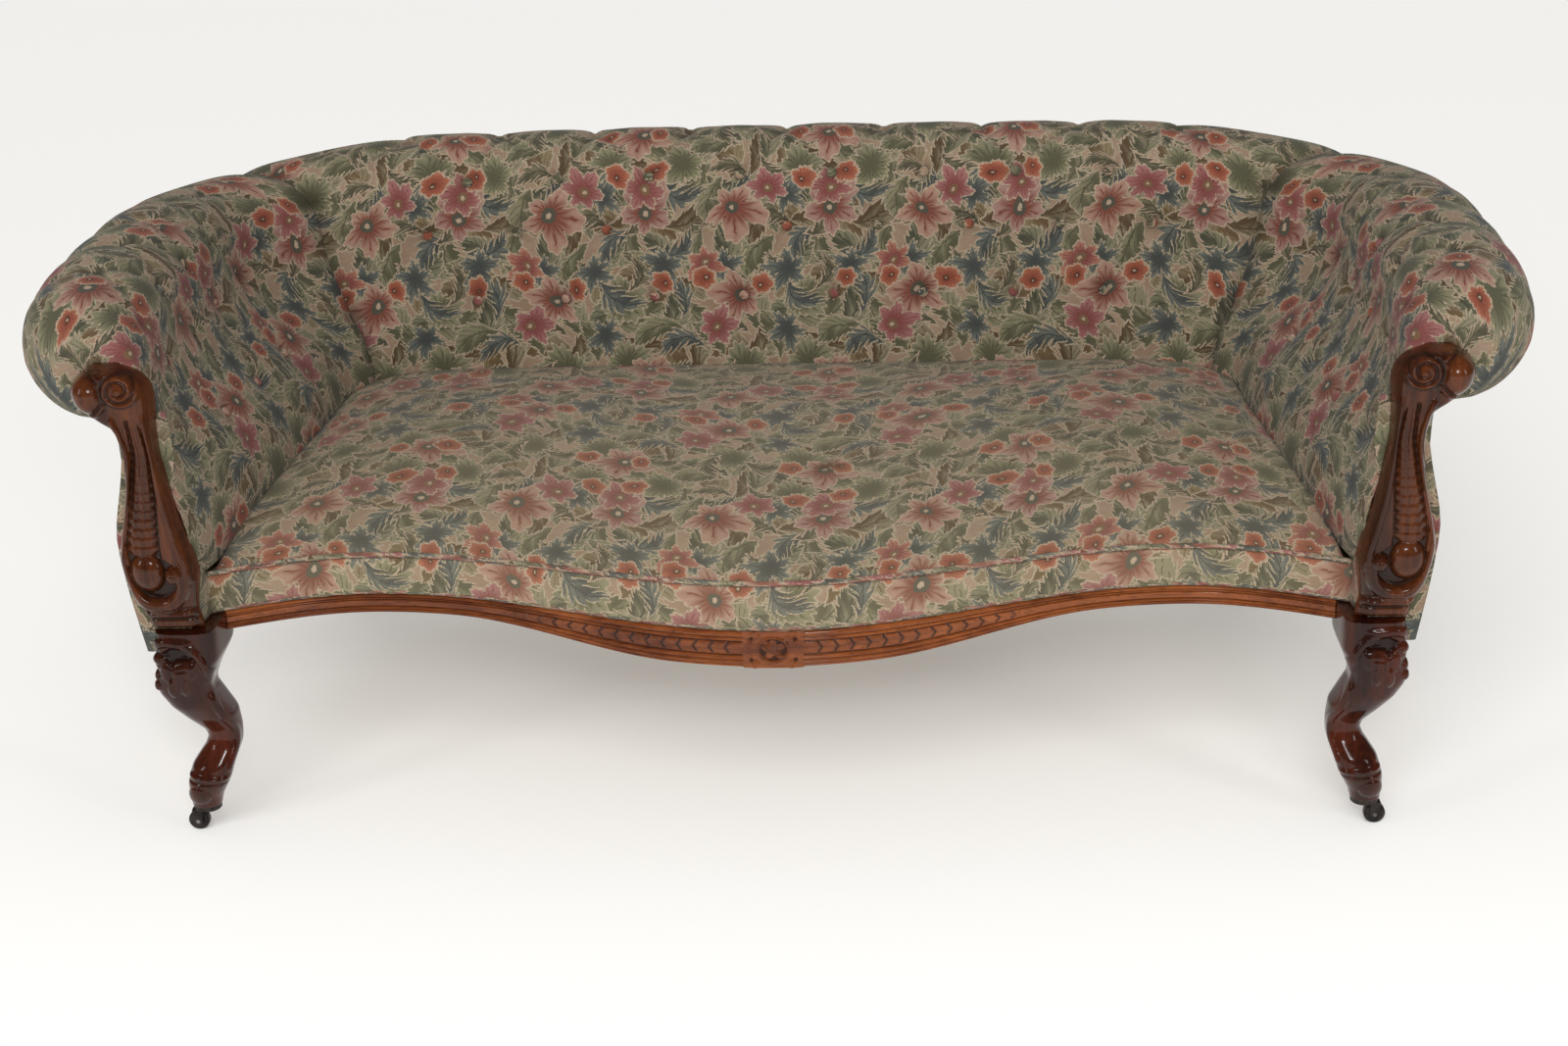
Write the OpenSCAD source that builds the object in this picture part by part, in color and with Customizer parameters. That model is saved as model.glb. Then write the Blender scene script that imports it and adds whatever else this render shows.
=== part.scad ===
// Chesterfield sofa with a show-wood front: a sprung seat with a serpentine front edge, a buttoned
// back and arms rolled over in one sweep, carved front legs and arm facings, and swivel castors.
// Millimetres. X runs along the sofa, Y from its front to its back and Z up from the floor.

/* [Overall] */
// Width over the two arm rolls
sofa_w = 1806; // [1736:10:1916]
// Depth from the arm facings to the back of the roll
sofa_d = 860; // [830:5:920]
// Height of the middle of the back roll
back_roll_z = 636; // [628:1:650]
// Height of the middle of the arm rolls
arm_roll_z = 620; // [614:1:630]
// How far the roll sinks in the middle of each rear corner
corner_drop = 16; // [8:1:18]
// How far the roll falls from the middle of the back to the corners
back_end_drop = 6; // [0:1:8]

/* [Upholstery] */
// Radius of the stuffed roll on the arms and back
roll_r = 80; // [76:1:84]
// Thickness of the stuffing on the arms and back
pad_t = 44; // [40:1:46]
// Thickness of the stuffing beside the arm facings
pad_front_t = 20; // [16:1:24]
// Depth of the buttoned tufts
tuft_depth = 14; // [6:1:18]
// Width of a covered button
button_d = 15; // [11:1:18]
// Thickness of the outside cover and its lining
cover_t = 3; // [2:0.5:4]
// Thickness of the piping
piping_d = 6.5; // [5:0.5:8]
// Plan radius of the seat's back corners
seat_corner_r = 116; // [100:1:130]
// Plan radius of the roll's corners
roll_corner_r = 280; // [250:5:300]
// Thickness of an arm at the seat, just behind its facing
arm_front_t = 213; // [203:1:220]
// Thickness of an arm at the seat, near the back
arm_back_t = 283; // [273:1:293]
// Thickness of the back from the seat's back edge to the middle of the roll
back_t = 88; // [84:1:96]

/* [Seat] */
// Height of the piping along the seat's front edge
seat_edge_z = 335; // [330:1:342]
// Rise of the seat from its front edge to its back edge
seat_rise = 60; // [45:1:70]
// Crown in the middle of the seat
seat_crown = 15; // [5:1:22]
// Width of a spring at its ends
spring_d = 76; // [60:1:90]
// Thickness of the spring wire
spring_wire_d = 3.6; // [3:0.2:4.4]
// Width of the seat webbing
webbing_w = 50; // [40:1:60]

/* [Seat frame] */
// Height of the underside of the seat frame
frame_z = 250; // [246:1:256]
// Thickness of the side and back rails
rail_t = 24; // [20:1:24]
// Thickness of the rail behind the front border
front_rail_t = 32; // [26:1:38]
// Thickness of the rails that carry the rolls
top_rail_t = 24; // [20:1:26]
// Width of the back's uprights
upright_w = 45; // [35:1:60]

/* [Show wood] */
// Thickness of the front show rail
show_rail_t = 22; // [18:1:26]
// Height of the front show rail at its ends
show_rail_end_h = 25; // [22:1:28]
// Height of the front show rail in its middle
show_rail_mid_h = 48; // [40:1:54]
// How far the front edge swings in and out
serpentine = 104; // [80:2:112]
// Width of a front leg at its knee
leg_w = 80; // [76:1:84]
// Height of the arm facings over the floor
facing_top_z = 620; // [610:1:628]
// Width of an arm facing over its scrolls
facing_w = 122; // [112:1:126]
// Thickness of a rear leg at its top
rear_leg_w = 46; // [38:1:50]

/* [Castors] */
// Height of a castor from the floor to its plate's top
castor_h = 37; // [36:0.5:40]
// Diameter of a castor wheel
wheel_d = 26; // [24:0.5:27]
// Width of a castor wheel
wheel_w = 12; // [10:0.5:14]
// Diameter of a castor axle
axle_d = 5; // [4:0.5:6]
// Diameter of a castor's swivel pin
pin_d = 6; // [5:0.5:7]
// Distance from a castor's pin to its axle
trail = 13; // [11:0.5:14]

/* [Hidden] */
// Fits
seat_gap = 0.3;
soft_gap = 0.5;
running_gap = 0.05;
overrun = 1;
round_fn = 48;
fine_fn = 32;

// Colours
FABRIC = "#8d8a6c";
SEAT_FABRIC = "#9a9677";
PIPING = "#9b6c5c";
SHOW_WOOD = "#5b2414";
BEECH = "#b98d5a";
JUTE = "#a58a5c";
STEEL = "#8b8d90";
DARK_IRON = "#3a3431";

// Places along the front, from the line of the front feet, which is Y zero until the parts are set back
half_w = sofa_w / 2;
facing_reach = 64;
foot_line = sofa_d / 2 - facing_reach;
facing_back_y = -10;
pad_front_y = facing_back_y + seat_gap;
roll_puff = 3;
border_lap = 14;
leg_reach = arm_front_t + border_lap;
leg_in_x = half_w - leg_reach;
facing_set_out = 8;
facing_in_x = leg_in_x + facing_set_out;

// Roll and seat lines in plan
arm_roll_x = half_w - roll_r - roll_puff;
back_roll_y = sofa_d - facing_reach - roll_r - roll_puff;
arm_in_front_x = half_w - arm_front_t;
arm_in_back_x = half_w - arm_back_t;
back_in_y = back_roll_y - back_t;
seat_corner_x = arm_in_back_x - seat_corner_r;
seat_corner_y = back_in_y - seat_corner_r;
roll_corner_x = arm_roll_x - roll_corner_r;
roll_corner_y = back_roll_y - roll_corner_r;
arm_run = seat_corner_y - pad_front_y;
side_curve_power = 1.6;

// How the roll draws in towards the facing
facing_to_roll = 95;
draw_in_x = arm_roll_x - facing_in_x - facing_to_roll;
draw_in_z = 20;
draw_in_run = 70;
roll_front_share = 0.375;
roll_front_run = 45;
pad_settle_run = 80;

// Where the outside covers hang under the roll
arm_cover_in = 56;
arm_cover_front_in = 14;
back_cover_in = 13;
cover_flare = 15;
rail_tongue_t = 8;
cover_waist = 6;
cover_waist_z_share = 0.8;
cover_knee_z_share = 0.48;

// Section of a pad, from its foot beside the seat to its end under the roll
pad_foot_rise = 10;
pad_foot_z = seat_edge_z + pad_foot_rise;
seat_line_rise = 55;
seat_line_z = seat_edge_z + seat_line_rise;
lean_shares = [0, 0.228, 0.435, 0.634, 0.833];
lean_bend_share = 0.6;
roll_angles = [180, 155, 125, 95];
under_roll_shares = [0.22, 0.45, 0.66, 0.83, 1];
pad_t_shares = [1, 1, 1, 0.9, 0.7, 0.6, 0.8, 1, 1, 1, 1, 1, 1, 1, 1];
section_points = 1 + len(lean_shares) + len(roll_angles) + len(under_roll_shares);

// Tufts: rows of buttons lie at these points of the section, a quarter pitch is a station
low_row = 3;
mid_row = 5;
top_row = 7;
pleat_row = 9;
quarter_pitches_back = 16;
quarter_pitches_arm = 14;
back_pitch = 4 * seat_corner_x / quarter_pitches_back;
front_run_shares = [0, 0.01, 0.027, 0.054, 0.096];
arm_pitch_start_share = 0.15;
row_step = 49;
tuft_spread = 26;
tuft_crown = roll_puff;
pleat_depth = 6;
pleat_spread = 16;
tuft_settle_run = 60;
corner_step = 15;
corner_crease = 5;

// Front edge and show rail
serpentine_x_share = 0.5537;
serpentine_in_y = 30;
end_hook = 55;
front_end_x = leg_in_x + border_lap;
rail_arch = 9;
border_h = 62.5;
show_rail_top_z = seat_edge_z - border_h;
leg_top_z = show_rail_top_z + rail_arch - soft_gap;
frame_drop = 5;
frame_top_z = seat_edge_z - frame_drop;
border_t = show_rail_t;
front_steps = 46;

// Leg rows: height, inner edge, outer edge, front, back and roundness, as shares of leg height and width
leg_rows_shares = [
    [0.000, 0.29, 0.74, -0.22, 0.22, 0.90],
    [0.053, 0.24, 0.76, -0.27, 0.25, 0.90],
    [0.143, 0.09, 0.74, -0.37, 0.27, 0.85],
    [0.233, 0.00, 0.66, -0.30, 0.37, 0.80],
    [0.322, -0.10, 0.46, -0.10, 0.46, 0.80],
    [0.367, -0.11, 0.41, -0.05, 0.48, 0.80],
    [0.412, -0.11, 0.46, -0.07, 0.50, 0.75],
    [0.502, -0.09, 0.68, -0.25, 0.52, 0.65],
    [0.584, 0.03, 0.86, -0.38, 0.50, 0.60],
    [0.665, 0.14, 0.98, -0.45, 0.45, 0.60],
    [0.706, 0.14, 1.00, -0.47, 0.44, 0.55],
    [0.767, 0.08, 0.97, -0.46, 0.55, 0.45],
    [0.829, 0.00, 0.92, -0.44, 1.00, 0.12],
    [1.000, 0.00, 0.92, -0.40, 1.00, 0.12]];

// Facing rows: height, inner edge, outer edge and forward reach, as shares of its height, width and reach
facing_rows_shares = [
    [0.000, 0.03, 0.56, 0.40],
    [0.052, 0.05, 0.57, 0.45],
    [0.082, 0.07, 0.60, 0.54],
    [0.153, 0.04, 0.69, 0.64],
    [0.230, 0.01, 0.74, 0.71],
    [0.289, 0.04, 0.76, 0.71],
    [0.378, 0.11, 0.71, 0.68],
    [0.467, 0.16, 0.65, 0.64],
    [0.556, 0.20, 0.60, 0.64],
    [0.674, 0.25, 0.57, 0.68],
    [0.778, 0.25, 0.64, 0.79],
    [0.822, 0.24, 0.83, 0.89],
    [0.876, 0.23, 0.97, 0.97],
    [0.926, 0.24, 1.00, 1.00],
    [0.970, 0.28, 0.93, 0.93],
    [1.000, 0.36, 0.79, 0.79]];
facing_edge_r = 8;
facing_foot_z = leg_top_z + seat_gap;

// Frame
core_share = 0.67;
back_rail_t = 28;
top_rail_half = core_share * (roll_r - pad_t);
stuffing_rail_t = 16;
stuffing_rail_h = 28;
stuffing_rail_rise = 7;
stuffing_rail_z = pad_foot_z + stuffing_rail_rise;
post_angle = 7;
stump_t = 38;
stretcher_w = 32;
stretcher_h = 45;
block_leg = 95;
block_screw_d = 5;
block_screw_head_d = 9;
block_screw_sink = 5;
block_screw_places_shares = [[0.14, 0.3], [0.36, 0.7]];
upright_shares = [-0.8, -0.27, 0.27, 0.8];
rear_foot_in = 248;
rear_foot_x = half_w - rear_foot_in;
rear_foot_y = back_roll_y - back_cover_in;
rear_leg_in = 32;
rear_foot_w = 32;
rear_leg_rows = 7;
sabre = 12;

// Seat
webbing_t = 1.5;
hessian_t = 1.2;
dust_cover_t = 1.4;
spring_turns = 3.5;
spring_steps = 8;
spring_waist_share = 0.66;
spring_columns = 6;
spring_field_share = 0.72;
spring_rows = 3;
seat_side_steps = 12;
seat_steps_across = 26;
seat_steps_back = 12;

// Castor details
plate_d = 34;
plate_lip_t = 1.6;
plate_cap_t = 2.2;
head_d = 10;
head_t = 2.4;
head_gap = 0.25;
crown_t = 2.5;
crown_gap = 1.5;
crown_d = 15;
cheek_t = 2.5;
cheek_gap = 0.4;
cheek_w = 12;
tyre_r = 2;
front_foot_x = leg_in_x + 0.515 * leg_w;

// General helpers
function mix(a, b, t) = a + (b - a) * t;
function unit(v) = v / norm(v);
function smooth(t) = t <= 0 ? 0 : t >= 1 ? 1 : t * t * (3 - 2 * t);
function to_multiple(v, m) = abs((((v + m / 2) % m) + m) % m - m / 2);

// A solid lofted through rings of points, its ends closed by a fan or, on a strip, by rungs
module loft(rings, strip = false) {
    n = len(rings[0]);
    last = (len(rings) - 1) * n;
    sides = [for (r = [0 : len(rings) - 2]) for (i = [0 : n - 1]) for (half = [0, 1])
        let (a = r * n + i, b = r * n + (i + 1) % n) half == 0 ? [a, b, b + n] : [a, b + n, a + n]];
    near_cap = strip
        ? [for (i = [0 : n / 2 - 2]) for (half = [0, 1])
            half == 0 ? [i, n - 1 - i, n - 2 - i] : [i, n - 2 - i, i + 1]]
        : [for (i = [1 : n - 2]) [0, i + 1, i]];
    far_cap = [for (f = near_cap) [f[0] + last, f[2] + last, f[1] + last]];
    polyhedron(points = [for (ring = rings) for (p = ring) p], faces = concat(sides, near_cap, far_cap),
        convexity = 6);
}

// Puts what is drawn from the line of the front feet into the sofa's frame
module set_back() {
    translate([0, -foot_line, 0]) children();
}

module on_side(side) {
    if (side < 0) mirror([1, 0, 0]) children();
    else children();
}

// Stations of the upholstery
// Each holds the seat-line point, the roll's middle, the roll's normal, its radius and height, the
// stuffing's thickness, how far in the cover hangs, its flare, the tuft's strength, its place in quarter
// pitches, the phase of the button rows and the crease
function seat_half(y) = mix(arm_in_back_x, arm_in_front_x,
    pow(max(0, 1 - y / seat_corner_y), side_curve_power));
function arm_station(run, q) = let (
    share = run / arm_run,
    draw = exp(-run / draw_in_run),
    y = pad_front_y + run)
    [[seat_half(y), y],
     [arm_roll_x - draw_in_x * draw, mix(pad_front_y, roll_corner_y, share)], [1, 0],
     roll_r * (1 - roll_front_share * exp(-run / roll_front_run)), arm_roll_z - draw_in_z * draw,
     pad_t - (pad_t - pad_front_t) * exp(-run / pad_settle_run),
     arm_cover_in - (arm_cover_in - arm_cover_front_in) * draw, draw,
     1 - exp(-run / tuft_settle_run), q, 0, 0];
function corner_station(angle, side) = let (
    share = smooth(angle / 90),
    out = [side * cos(angle), sin(angle)])
    [[side * seat_corner_x, seat_corner_y] + seat_corner_r * out,
     [side * roll_corner_x, roll_corner_y] + roll_corner_r * out, out, roll_r,
     mix(arm_roll_z, back_roll_z - back_end_drop, share) - corner_drop * sin(2 * angle), pad_t,
     mix(arm_cover_in, back_cover_in, share), 0,
     0.35, 1, 0, abs(angle - 45) < 1 ? 1 : 0];
function back_station(share) =
    [[share * seat_corner_x, back_in_y], [share * roll_corner_x, back_roll_y], [0, 1], roll_r,
     back_roll_z - back_end_drop * share * share, pad_t, back_cover_in, 0, 1,
     share * quarter_pitches_back, 2, 0];

function reach(s) = norm(s[1] - s[0]);
function heading(s) = unit(s[1] - s[0]);
function stretch(s) = 1 / (heading(s) * s[2]);
function in_space(s, p) = let (d = heading(s))
    [s[0][0] + d[0] * p[0], s[0][1] + d[1] * p[0], p[1]];
function in_plan(s, a) = s[0] + heading(s) * a;
function cover_a(s) = reach(s) - s[6] * stretch(s);
// At its foot the cover follows the rail's tongue beside the front leg
leg_out_x = leg_in_x + leg_rows_shares[len(leg_rows_shares) - 1][2] * leg_w;
cover_foot_flare = leg_out_x + rail_tongue_t + cover_t + 2 * seat_gap - arm_roll_x + draw_in_x
    + arm_cover_front_in;
function end_angle(s) = -acos(-s[6] / s[3]);

// Outside of a cover, from the frame's underside to its top edge behind the roll
function cover_line(s) = let (
    a = cover_a(s) - soft_gap * stretch(s),
    top = s[4] - s[3] * sin(acos(s[6] / s[3])) + 2 * cover_t)
    [[a + s[7] * cover_foot_flare, frame_z],
     [a + s[7] * cover_flare, mix(frame_z, top, cover_knee_z_share)],
     [a - s[7] * cover_waist, mix(frame_z, top, cover_waist_z_share)],
     [a, top]];

// Section of a pad before its tufts: distance out from the seat line and height
function turns(s) = concat(roll_angles,
    [for (w = under_roll_shares) mix(roll_angles[len(roll_angles) - 1], end_angle(s), w)]);
function pad_line(s) = let (
    far = reach(s),
    roll_in = far - s[3] * stretch(s))
    concat(
        [[0, pad_foot_z]],
        [for (w = lean_shares)
            [roll_in * (w - lean_bend_share * sin(360 * w) / (2 * PI)), mix(seat_line_z, s[4], w)]],
        [for (a = turns(s)) [far + s[3] * stretch(s) * cos(a), s[4] + s[3] * sin(a)]]);
function pad_normals(s) = let (line = pad_line(s))
    concat(
        [for (k = [0 : len(lean_shares)]) let (t = unit(line[k + 1] - line[max(k - 1, 0)])) [-t[1], t[0]]],
        [for (a = turns(s)) [cos(a), sin(a)]]);

// How deep a tuft draws the cover in at one point of a section
function dip(along, across) = exp(-(along * along + across * across) / (tuft_spread * tuft_spread));
function tuft(s, k) = let (
    quarter = back_pitch / 4,
    outer = to_multiple(s[9] - s[10], 4) * quarter,
    middle = to_multiple(s[9] - s[10] - 2, 4) * quarter,
    dips = dip(outer, (k - low_row) * row_step) + dip(middle, (k - mid_row) * row_step)
        + dip(outer, (k - top_row) * row_step),
    pleat = exp(-pow(middle / pleat_spread, 2)))
    k < 2 || k > section_points - 2 ? 0
    : k < pleat_row ? s[8] * (tuft_crown - (tuft_depth + tuft_crown) * dips) - s[11] * corner_crease
    : s[8] * (tuft_crown - (pleat_depth + tuft_crown) * pleat) - s[11] * corner_crease;
function pad_face(s) = let (line = pad_line(s), n = pad_normals(s))
    [for (k = [0 : section_points - 1]) line[k] + n[k] * tuft(s, k)];
function pad_inside(s) = let (line = pad_line(s), n = pad_normals(s))
    [for (k = [0 : section_points - 1]) line[k] - n[k] * s[5] * pad_t_shares[k]];
function pad_ring(s) = let (face = pad_face(s), inside = pad_inside(s)) concat(
    [for (k = [0 : section_points - 1]) in_space(s, face[k])],
    [for (k = [section_points - 1 : -1 : 0]) in_space(s, inside[k])]);

// Runs of stations
arm_pitch_start = arm_pitch_start_share * arm_run;
arm_stations = concat(
    [for (f = front_run_shares) arm_station(f * arm_run, -2)],
    [for (q = [0 : quarter_pitches_arm])
        arm_station(mix(arm_pitch_start, arm_run, q / quarter_pitches_arm), q)]);
arm_corner_stations = [for (a = [corner_step : corner_step : 45]) corner_station(a, 1)];
function back_corner_stations(side) = [for (a = [45 : corner_step : 90 - corner_step / 2])
    corner_station(a, side)];
back_straight_stations = [for (q = [quarter_pitches_back : -1 : -quarter_pitches_back])
    back_station(q / quarter_pitches_back)];
back_left_corner = back_corner_stations(-1);
back_stations = concat(back_corner_stations(1), back_straight_stations,
    [for (i = [len(back_left_corner) - 1 : -1 : 0]) back_left_corner[i]]);
arm_all_stations = concat(arm_stations, arm_corner_stations);

// Seat outline along the front
serpentine_x = serpentine_x_share * half_w;
function front_y(x) = let (ax = abs(x))
    ax <= serpentine_x
    ? serpentine_in_y - serpentine / 2 * cos(180 * ax / serpentine_x)
    : serpentine_in_y + serpentine / 2
        - end_hook * (1 - cos(90 * (ax - serpentine_x) / (front_end_x - serpentine_x)));
function rail_top_z(x) = show_rail_top_z + rail_arch * smooth(abs(x) / serpentine_x);
function rail_h(x) = mix(show_rail_mid_h, show_rail_end_h, smooth((abs(x) / serpentine_x - 0.24) / 0.56));

// A flat board between two lines in plan
module board(outer, inner, z, h) {
    translate([0, 0, z]) linear_extrude(h)
        polygon(concat(outer, [for (i = [len(inner) - 1 : -1 : 0]) inner[i]]));
}

// Show rail: sections in planes across the sofa, with a bead, a hollow and a lower bead
show_rail_section_shares = [
    [1.00, 0.00], [1.00, 1.00], [0.25, 1.00], [0.06, 0.93], [0.00, 0.80], [0.10, 0.70],
    [0.12, 0.34], [0.00, 0.24], [0.05, 0.08], [0.22, 0.00]];
module show_rail() {
    color(SHOW_WOOD) set_back() loft([for (i = [front_steps : -1 : -front_steps])
        let (x = i / front_steps * (leg_in_x - seat_gap), top = rail_top_z(x), h = rail_h(x))
        [for (p = show_rail_section_shares)
            [x, front_y(x) + p[0] * show_rail_t, top - h + p[1] * h]]]);
}

// Legs and facings
function rounded_ring(x0, x1, y0, y1, round_share, z) = let (
    c = [(x0 + x1) / 2, (y0 + y1) / 2],
    h = [(x1 - x0) / 2, (y1 - y0) / 2])
    [for (corner = [0 : 3]) for (j = [0 : 2])
        let (a = 45 + 90 * corner + (j - 1) * 30,
            s = [cos(45 + 90 * corner) > 0 ? 1 : -1, sin(45 + 90 * corner) > 0 ? 1 : -1])
        [c[0] + h[0] * (s[0] * (1 - round_share) + round_share * cos(a)),
         c[1] + h[1] * (s[1] * (1 - round_share) + round_share * sin(a)), z]];
module front_leg(side) {
    color(SHOW_WOOD) set_back() on_side(side) loft([for (i = [len(leg_rows_shares) - 1 : -1 : 0])
        let (r = leg_rows_shares[i])
        rounded_ring(leg_in_x + r[1] * leg_w, leg_in_x + r[2] * leg_w, r[3] * leg_w, r[4] * leg_w, r[5],
            mix(castor_h, leg_top_z, r[0]))]);
}
module arm_facing(side) {
    depth = facing_reach + facing_back_y;
    color(SHOW_WOOD) set_back() on_side(side) loft([for (i = [len(facing_rows_shares) - 1 : -1 : 0])
        let (r = facing_rows_shares[i],
            x0 = facing_in_x + r[1] * facing_w, x1 = facing_in_x + r[2] * facing_w,
            y = facing_back_y - r[3] * depth, z = mix(facing_foot_z, facing_top_z, r[0]))
        [[x1, facing_back_y, z], [x0, facing_back_y, z], [x0, y + 1.6 * facing_edge_r, z],
         [x0 + facing_edge_r / 2, y + facing_edge_r / 2, z], [mix(x0, x1, 0.35), y, z],
         [mix(x0, x1, 0.65), y, z], [x1 - facing_edge_r / 2, y + facing_edge_r / 2, z],
         [x1, y + 1.6 * facing_edge_r, z]]]);
}
module rear_leg(side) {
    color(SHOW_WOOD) set_back() on_side(side) loft([for (i = [rear_leg_rows : -1 : 0])
        let (t = i / rear_leg_rows,
            w = mix(rear_foot_w, rear_leg_w, smooth(t)) / 2,
            c = mix([rear_foot_x, rear_foot_y], rear_leg_top, t) - [0, sabre * sin(180 * t)])
        rounded_ring(c[0] - w, c[0] + w, c[1] - w, c[1] + w, 0.15, mix(castor_h, frame_z, t))]);
}

// Seat frame
function cover_inside(s) = cover_a(s) + s[7] * cover_foot_flare - (cover_t + seat_gap) * stretch(s);
leg_back_y = leg_rows_shares[len(leg_rows_shares) - 1][4] * leg_w;
// The side rail is thinner beside the front leg, and its shoulder lies just behind it
function leg_limit(s) = (leg_out_x + seat_gap - s[0][0]) / heading(s)[0];
function short_of_leg_back(run) = let (s = arm_station(run, 0))
    leg_back_y + seat_gap - in_plan(s, leg_limit(s))[1];
shoulder_guess = leg_back_y - pad_front_y;
shoulder_near = shoulder_guess + short_of_leg_back(shoulder_guess);
shoulder_run = shoulder_near + short_of_leg_back(shoulder_near);
function rail_in_plain(s) = cover_inside(s) - rail_t * stretch(s);
function side_rail_in(s) = max(rail_in_plain(s),
    s[0][1] > pad_front_y + shoulder_run + seat_gap / 2 ? 0 : leg_limit(s));
function corner_rail_in(s, t) = cover_inside(s)
    - (mix(rail_t, back_rail_t, t) + rear_leg_in * sin(180 * t)) * stretch(s);
side_rail_stations = concat(
    [for (s = arm_stations) if (s[0][1] < pad_front_y + shoulder_run - overrun) s],
    [arm_station(shoulder_run, 0), arm_station(shoulder_run + seat_gap, 0)],
    [for (s = arm_stations) if (s[0][1] > pad_front_y + shoulder_run + 2 * overrun) s],
    [corner_station(corner_step, 1)]);
corner_rail_stations = [for (a = [corner_step : corner_step : 90]) corner_station(a, 1)];
rear_leg_top = in_plan(corner_station(45, 1), cover_inside(corner_station(45, 1)) - 0.62 * rear_leg_w);
module front_seat_rail() {
    x_end = leg_in_x - seat_gap;
    xs = [for (i = [-front_steps : front_steps]) i / front_steps * x_end];
    color(BEECH) set_back() board(
        [for (x = xs) [x, front_y(x) + show_rail_t + seat_gap]],
        [for (x = xs) [x, front_y(x) + show_rail_t + seat_gap + front_rail_t]],
        frame_z, frame_top_z - frame_z);
}
module side_seat_rail(side) {
    color(BEECH) set_back() on_side(side) board(
        [for (s = side_rail_stations) in_plan(s, cover_inside(s))],
        [for (s = side_rail_stations) in_plan(s, side_rail_in(s))],
        frame_z, frame_top_z - frame_z);
}
module rear_corner_rail(side) {
    color(BEECH) set_back() on_side(side) board(
        [for (s = corner_rail_stations) in_plan(s, cover_inside(s))],
        [for (i = [0 : len(corner_rail_stations) - 1])
            let (s = corner_rail_stations[i])
            in_plan(s, corner_rail_in(s, i / (len(corner_rail_stations) - 1)))],
        frame_z, frame_top_z - frame_z);
}
module back_seat_rail() {
    ends = [back_station(1), back_station(-1)];
    color(BEECH) set_back() board(
        [for (s = ends) in_plan(s, cover_inside(s))],
        [for (s = ends) in_plan(s, cover_inside(s) - back_rail_t * stretch(s))],
        frame_z, frame_top_z - frame_z);
}
module seat_stretcher() {
    y0 = front_y(stretcher_w / 2) + show_rail_t + front_rail_t + 2 * seat_gap;
    y1 = in_plan(back_station(0), cover_inside(back_station(0)) - back_rail_t)[1] - seat_gap;
    color(BEECH) set_back() translate([-stretcher_w / 2, y0, frame_z + webbing_t])
        cube([stretcher_w, y1 - y0, stretcher_h]);
}
// Glued blocks behind the front legs, each held by two screws into the side rail
block_rise = 6;
block_h = 55;
block_z = frame_z + block_rise;
block_x = leg_in_x + seat_gap;
block_y = leg_back_y + seat_gap;
function behind_block(lap) = arm_station(block_y - pad_front_y + lap, 0);
function side_inner_x(y) = let (s = arm_station(y - pad_front_y, 0)) in_plan(s, rail_in_plain(s))[0];
block_side_x = min(side_inner_x(block_y + overrun), side_inner_x(block_y + block_leg)) - seat_gap;
module corner_block_outline() {
    polygon([[block_side_x, block_y], [block_side_x, block_y + block_leg],
        [mix(block_side_x, block_x, 0.4), block_y + block_leg], [block_x, block_y + block_leg / 2],
        [block_x, block_y]]);
}
block_head_x = block_x + block_screw_sink;
module at_block_screws(x) {
    for (p = block_screw_places_shares)
        translate([x, block_y + block_leg * p[0], block_z + block_h * p[1]]) rotate([0, 90, 0]) children();
}
module corner_blocks() {
    color(BEECH) set_back() for (side = [-1, 1]) on_side(side) difference() {
        translate([0, 0, block_z]) linear_extrude(block_h) corner_block_outline();
        at_block_screws(block_x - overrun)
            cylinder(d = block_screw_head_d, h = overrun + block_screw_sink + block_screw_d / 2, $fn = fine_fn);
        at_block_screws(block_head_x)
            cylinder(d = block_screw_d, h = block_side_x - block_head_x + overrun, $fn = fine_fn);
    }
}
module corner_block_screws() {
    color(STEEL) set_back() for (side = [-1, 1]) on_side(side) at_block_screws(block_head_x) {
        cylinder(d = block_screw_head_d, h = block_screw_d / 2, $fn = fine_fn);
        cylinder(d = block_screw_d, h = block_side_x - block_head_x, $fn = fine_fn);
    }
}

// Back and arm frame
// Posts follow the pad's inside and the outside cover, and run up into the roll
rib_top_gap = 3;
corner_top_z = (arm_roll_z + back_roll_z - corner_drop) / 2 - top_rail_t / 2;
function rib_ring(s, low, high, behind, beside) = let (
    k = stretch(s),
    inside = pad_inside(s),
    end = inside[section_points - 1],
    cover = cover_line(s),
    wall = (cover_t + seat_gap) * k + (behind ? rib_top_gap : 0),
    clear = behind ? (s[5] + stuffing_rail_t + 3 * seat_gap) : 0,
    out = beside ? side_rail_in(s) - seat_gap * k : cover[1][0] - wall,
    inner = concat([for (i = [1 : mid_row]) [max(inside[i][0] + soft_gap * k, i < low_row ? clear : 0),
            i == 1 ? low : inside[i][1]]],
        [[max(inside[mid_row][0], inside[mid_row + 1][0]) + 2 * rib_top_gap * k, high]]),
    outer = [[out, low], [out, cover[1][1]], [cover[2][0] - wall, cover[2][1]],
        [cover[3][0] - wall, cover[3][1]],
        [max(end[0], cover[3][0]) - rib_top_gap * k, end[1]], [reach(s), high]])
    concat([for (p = inner) in_space(s, p)], [for (i = [len(outer) - 1 : -1 : 0]) in_space(s, outer[i])]);
module arm_stump(side) {
    high = arm_roll_z - top_rail_t / 2 - seat_gap;
    color(BEECH) set_back() on_side(side) loft([for (share = [0, 0.33, 0.66, 1])
        rib_ring(arm_station(share * stump_t, 0), facing_foot_z, high, false, true)], strip = true);
}
module rear_post(side) {
    color(BEECH) set_back() on_side(side) loft([for (turn = [-post_angle, 0, post_angle])
        rib_ring(corner_station(45 + turn, 1), frame_top_z + seat_gap, corner_top_z - seat_gap, true,
            false)], strip = true);
}
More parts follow.
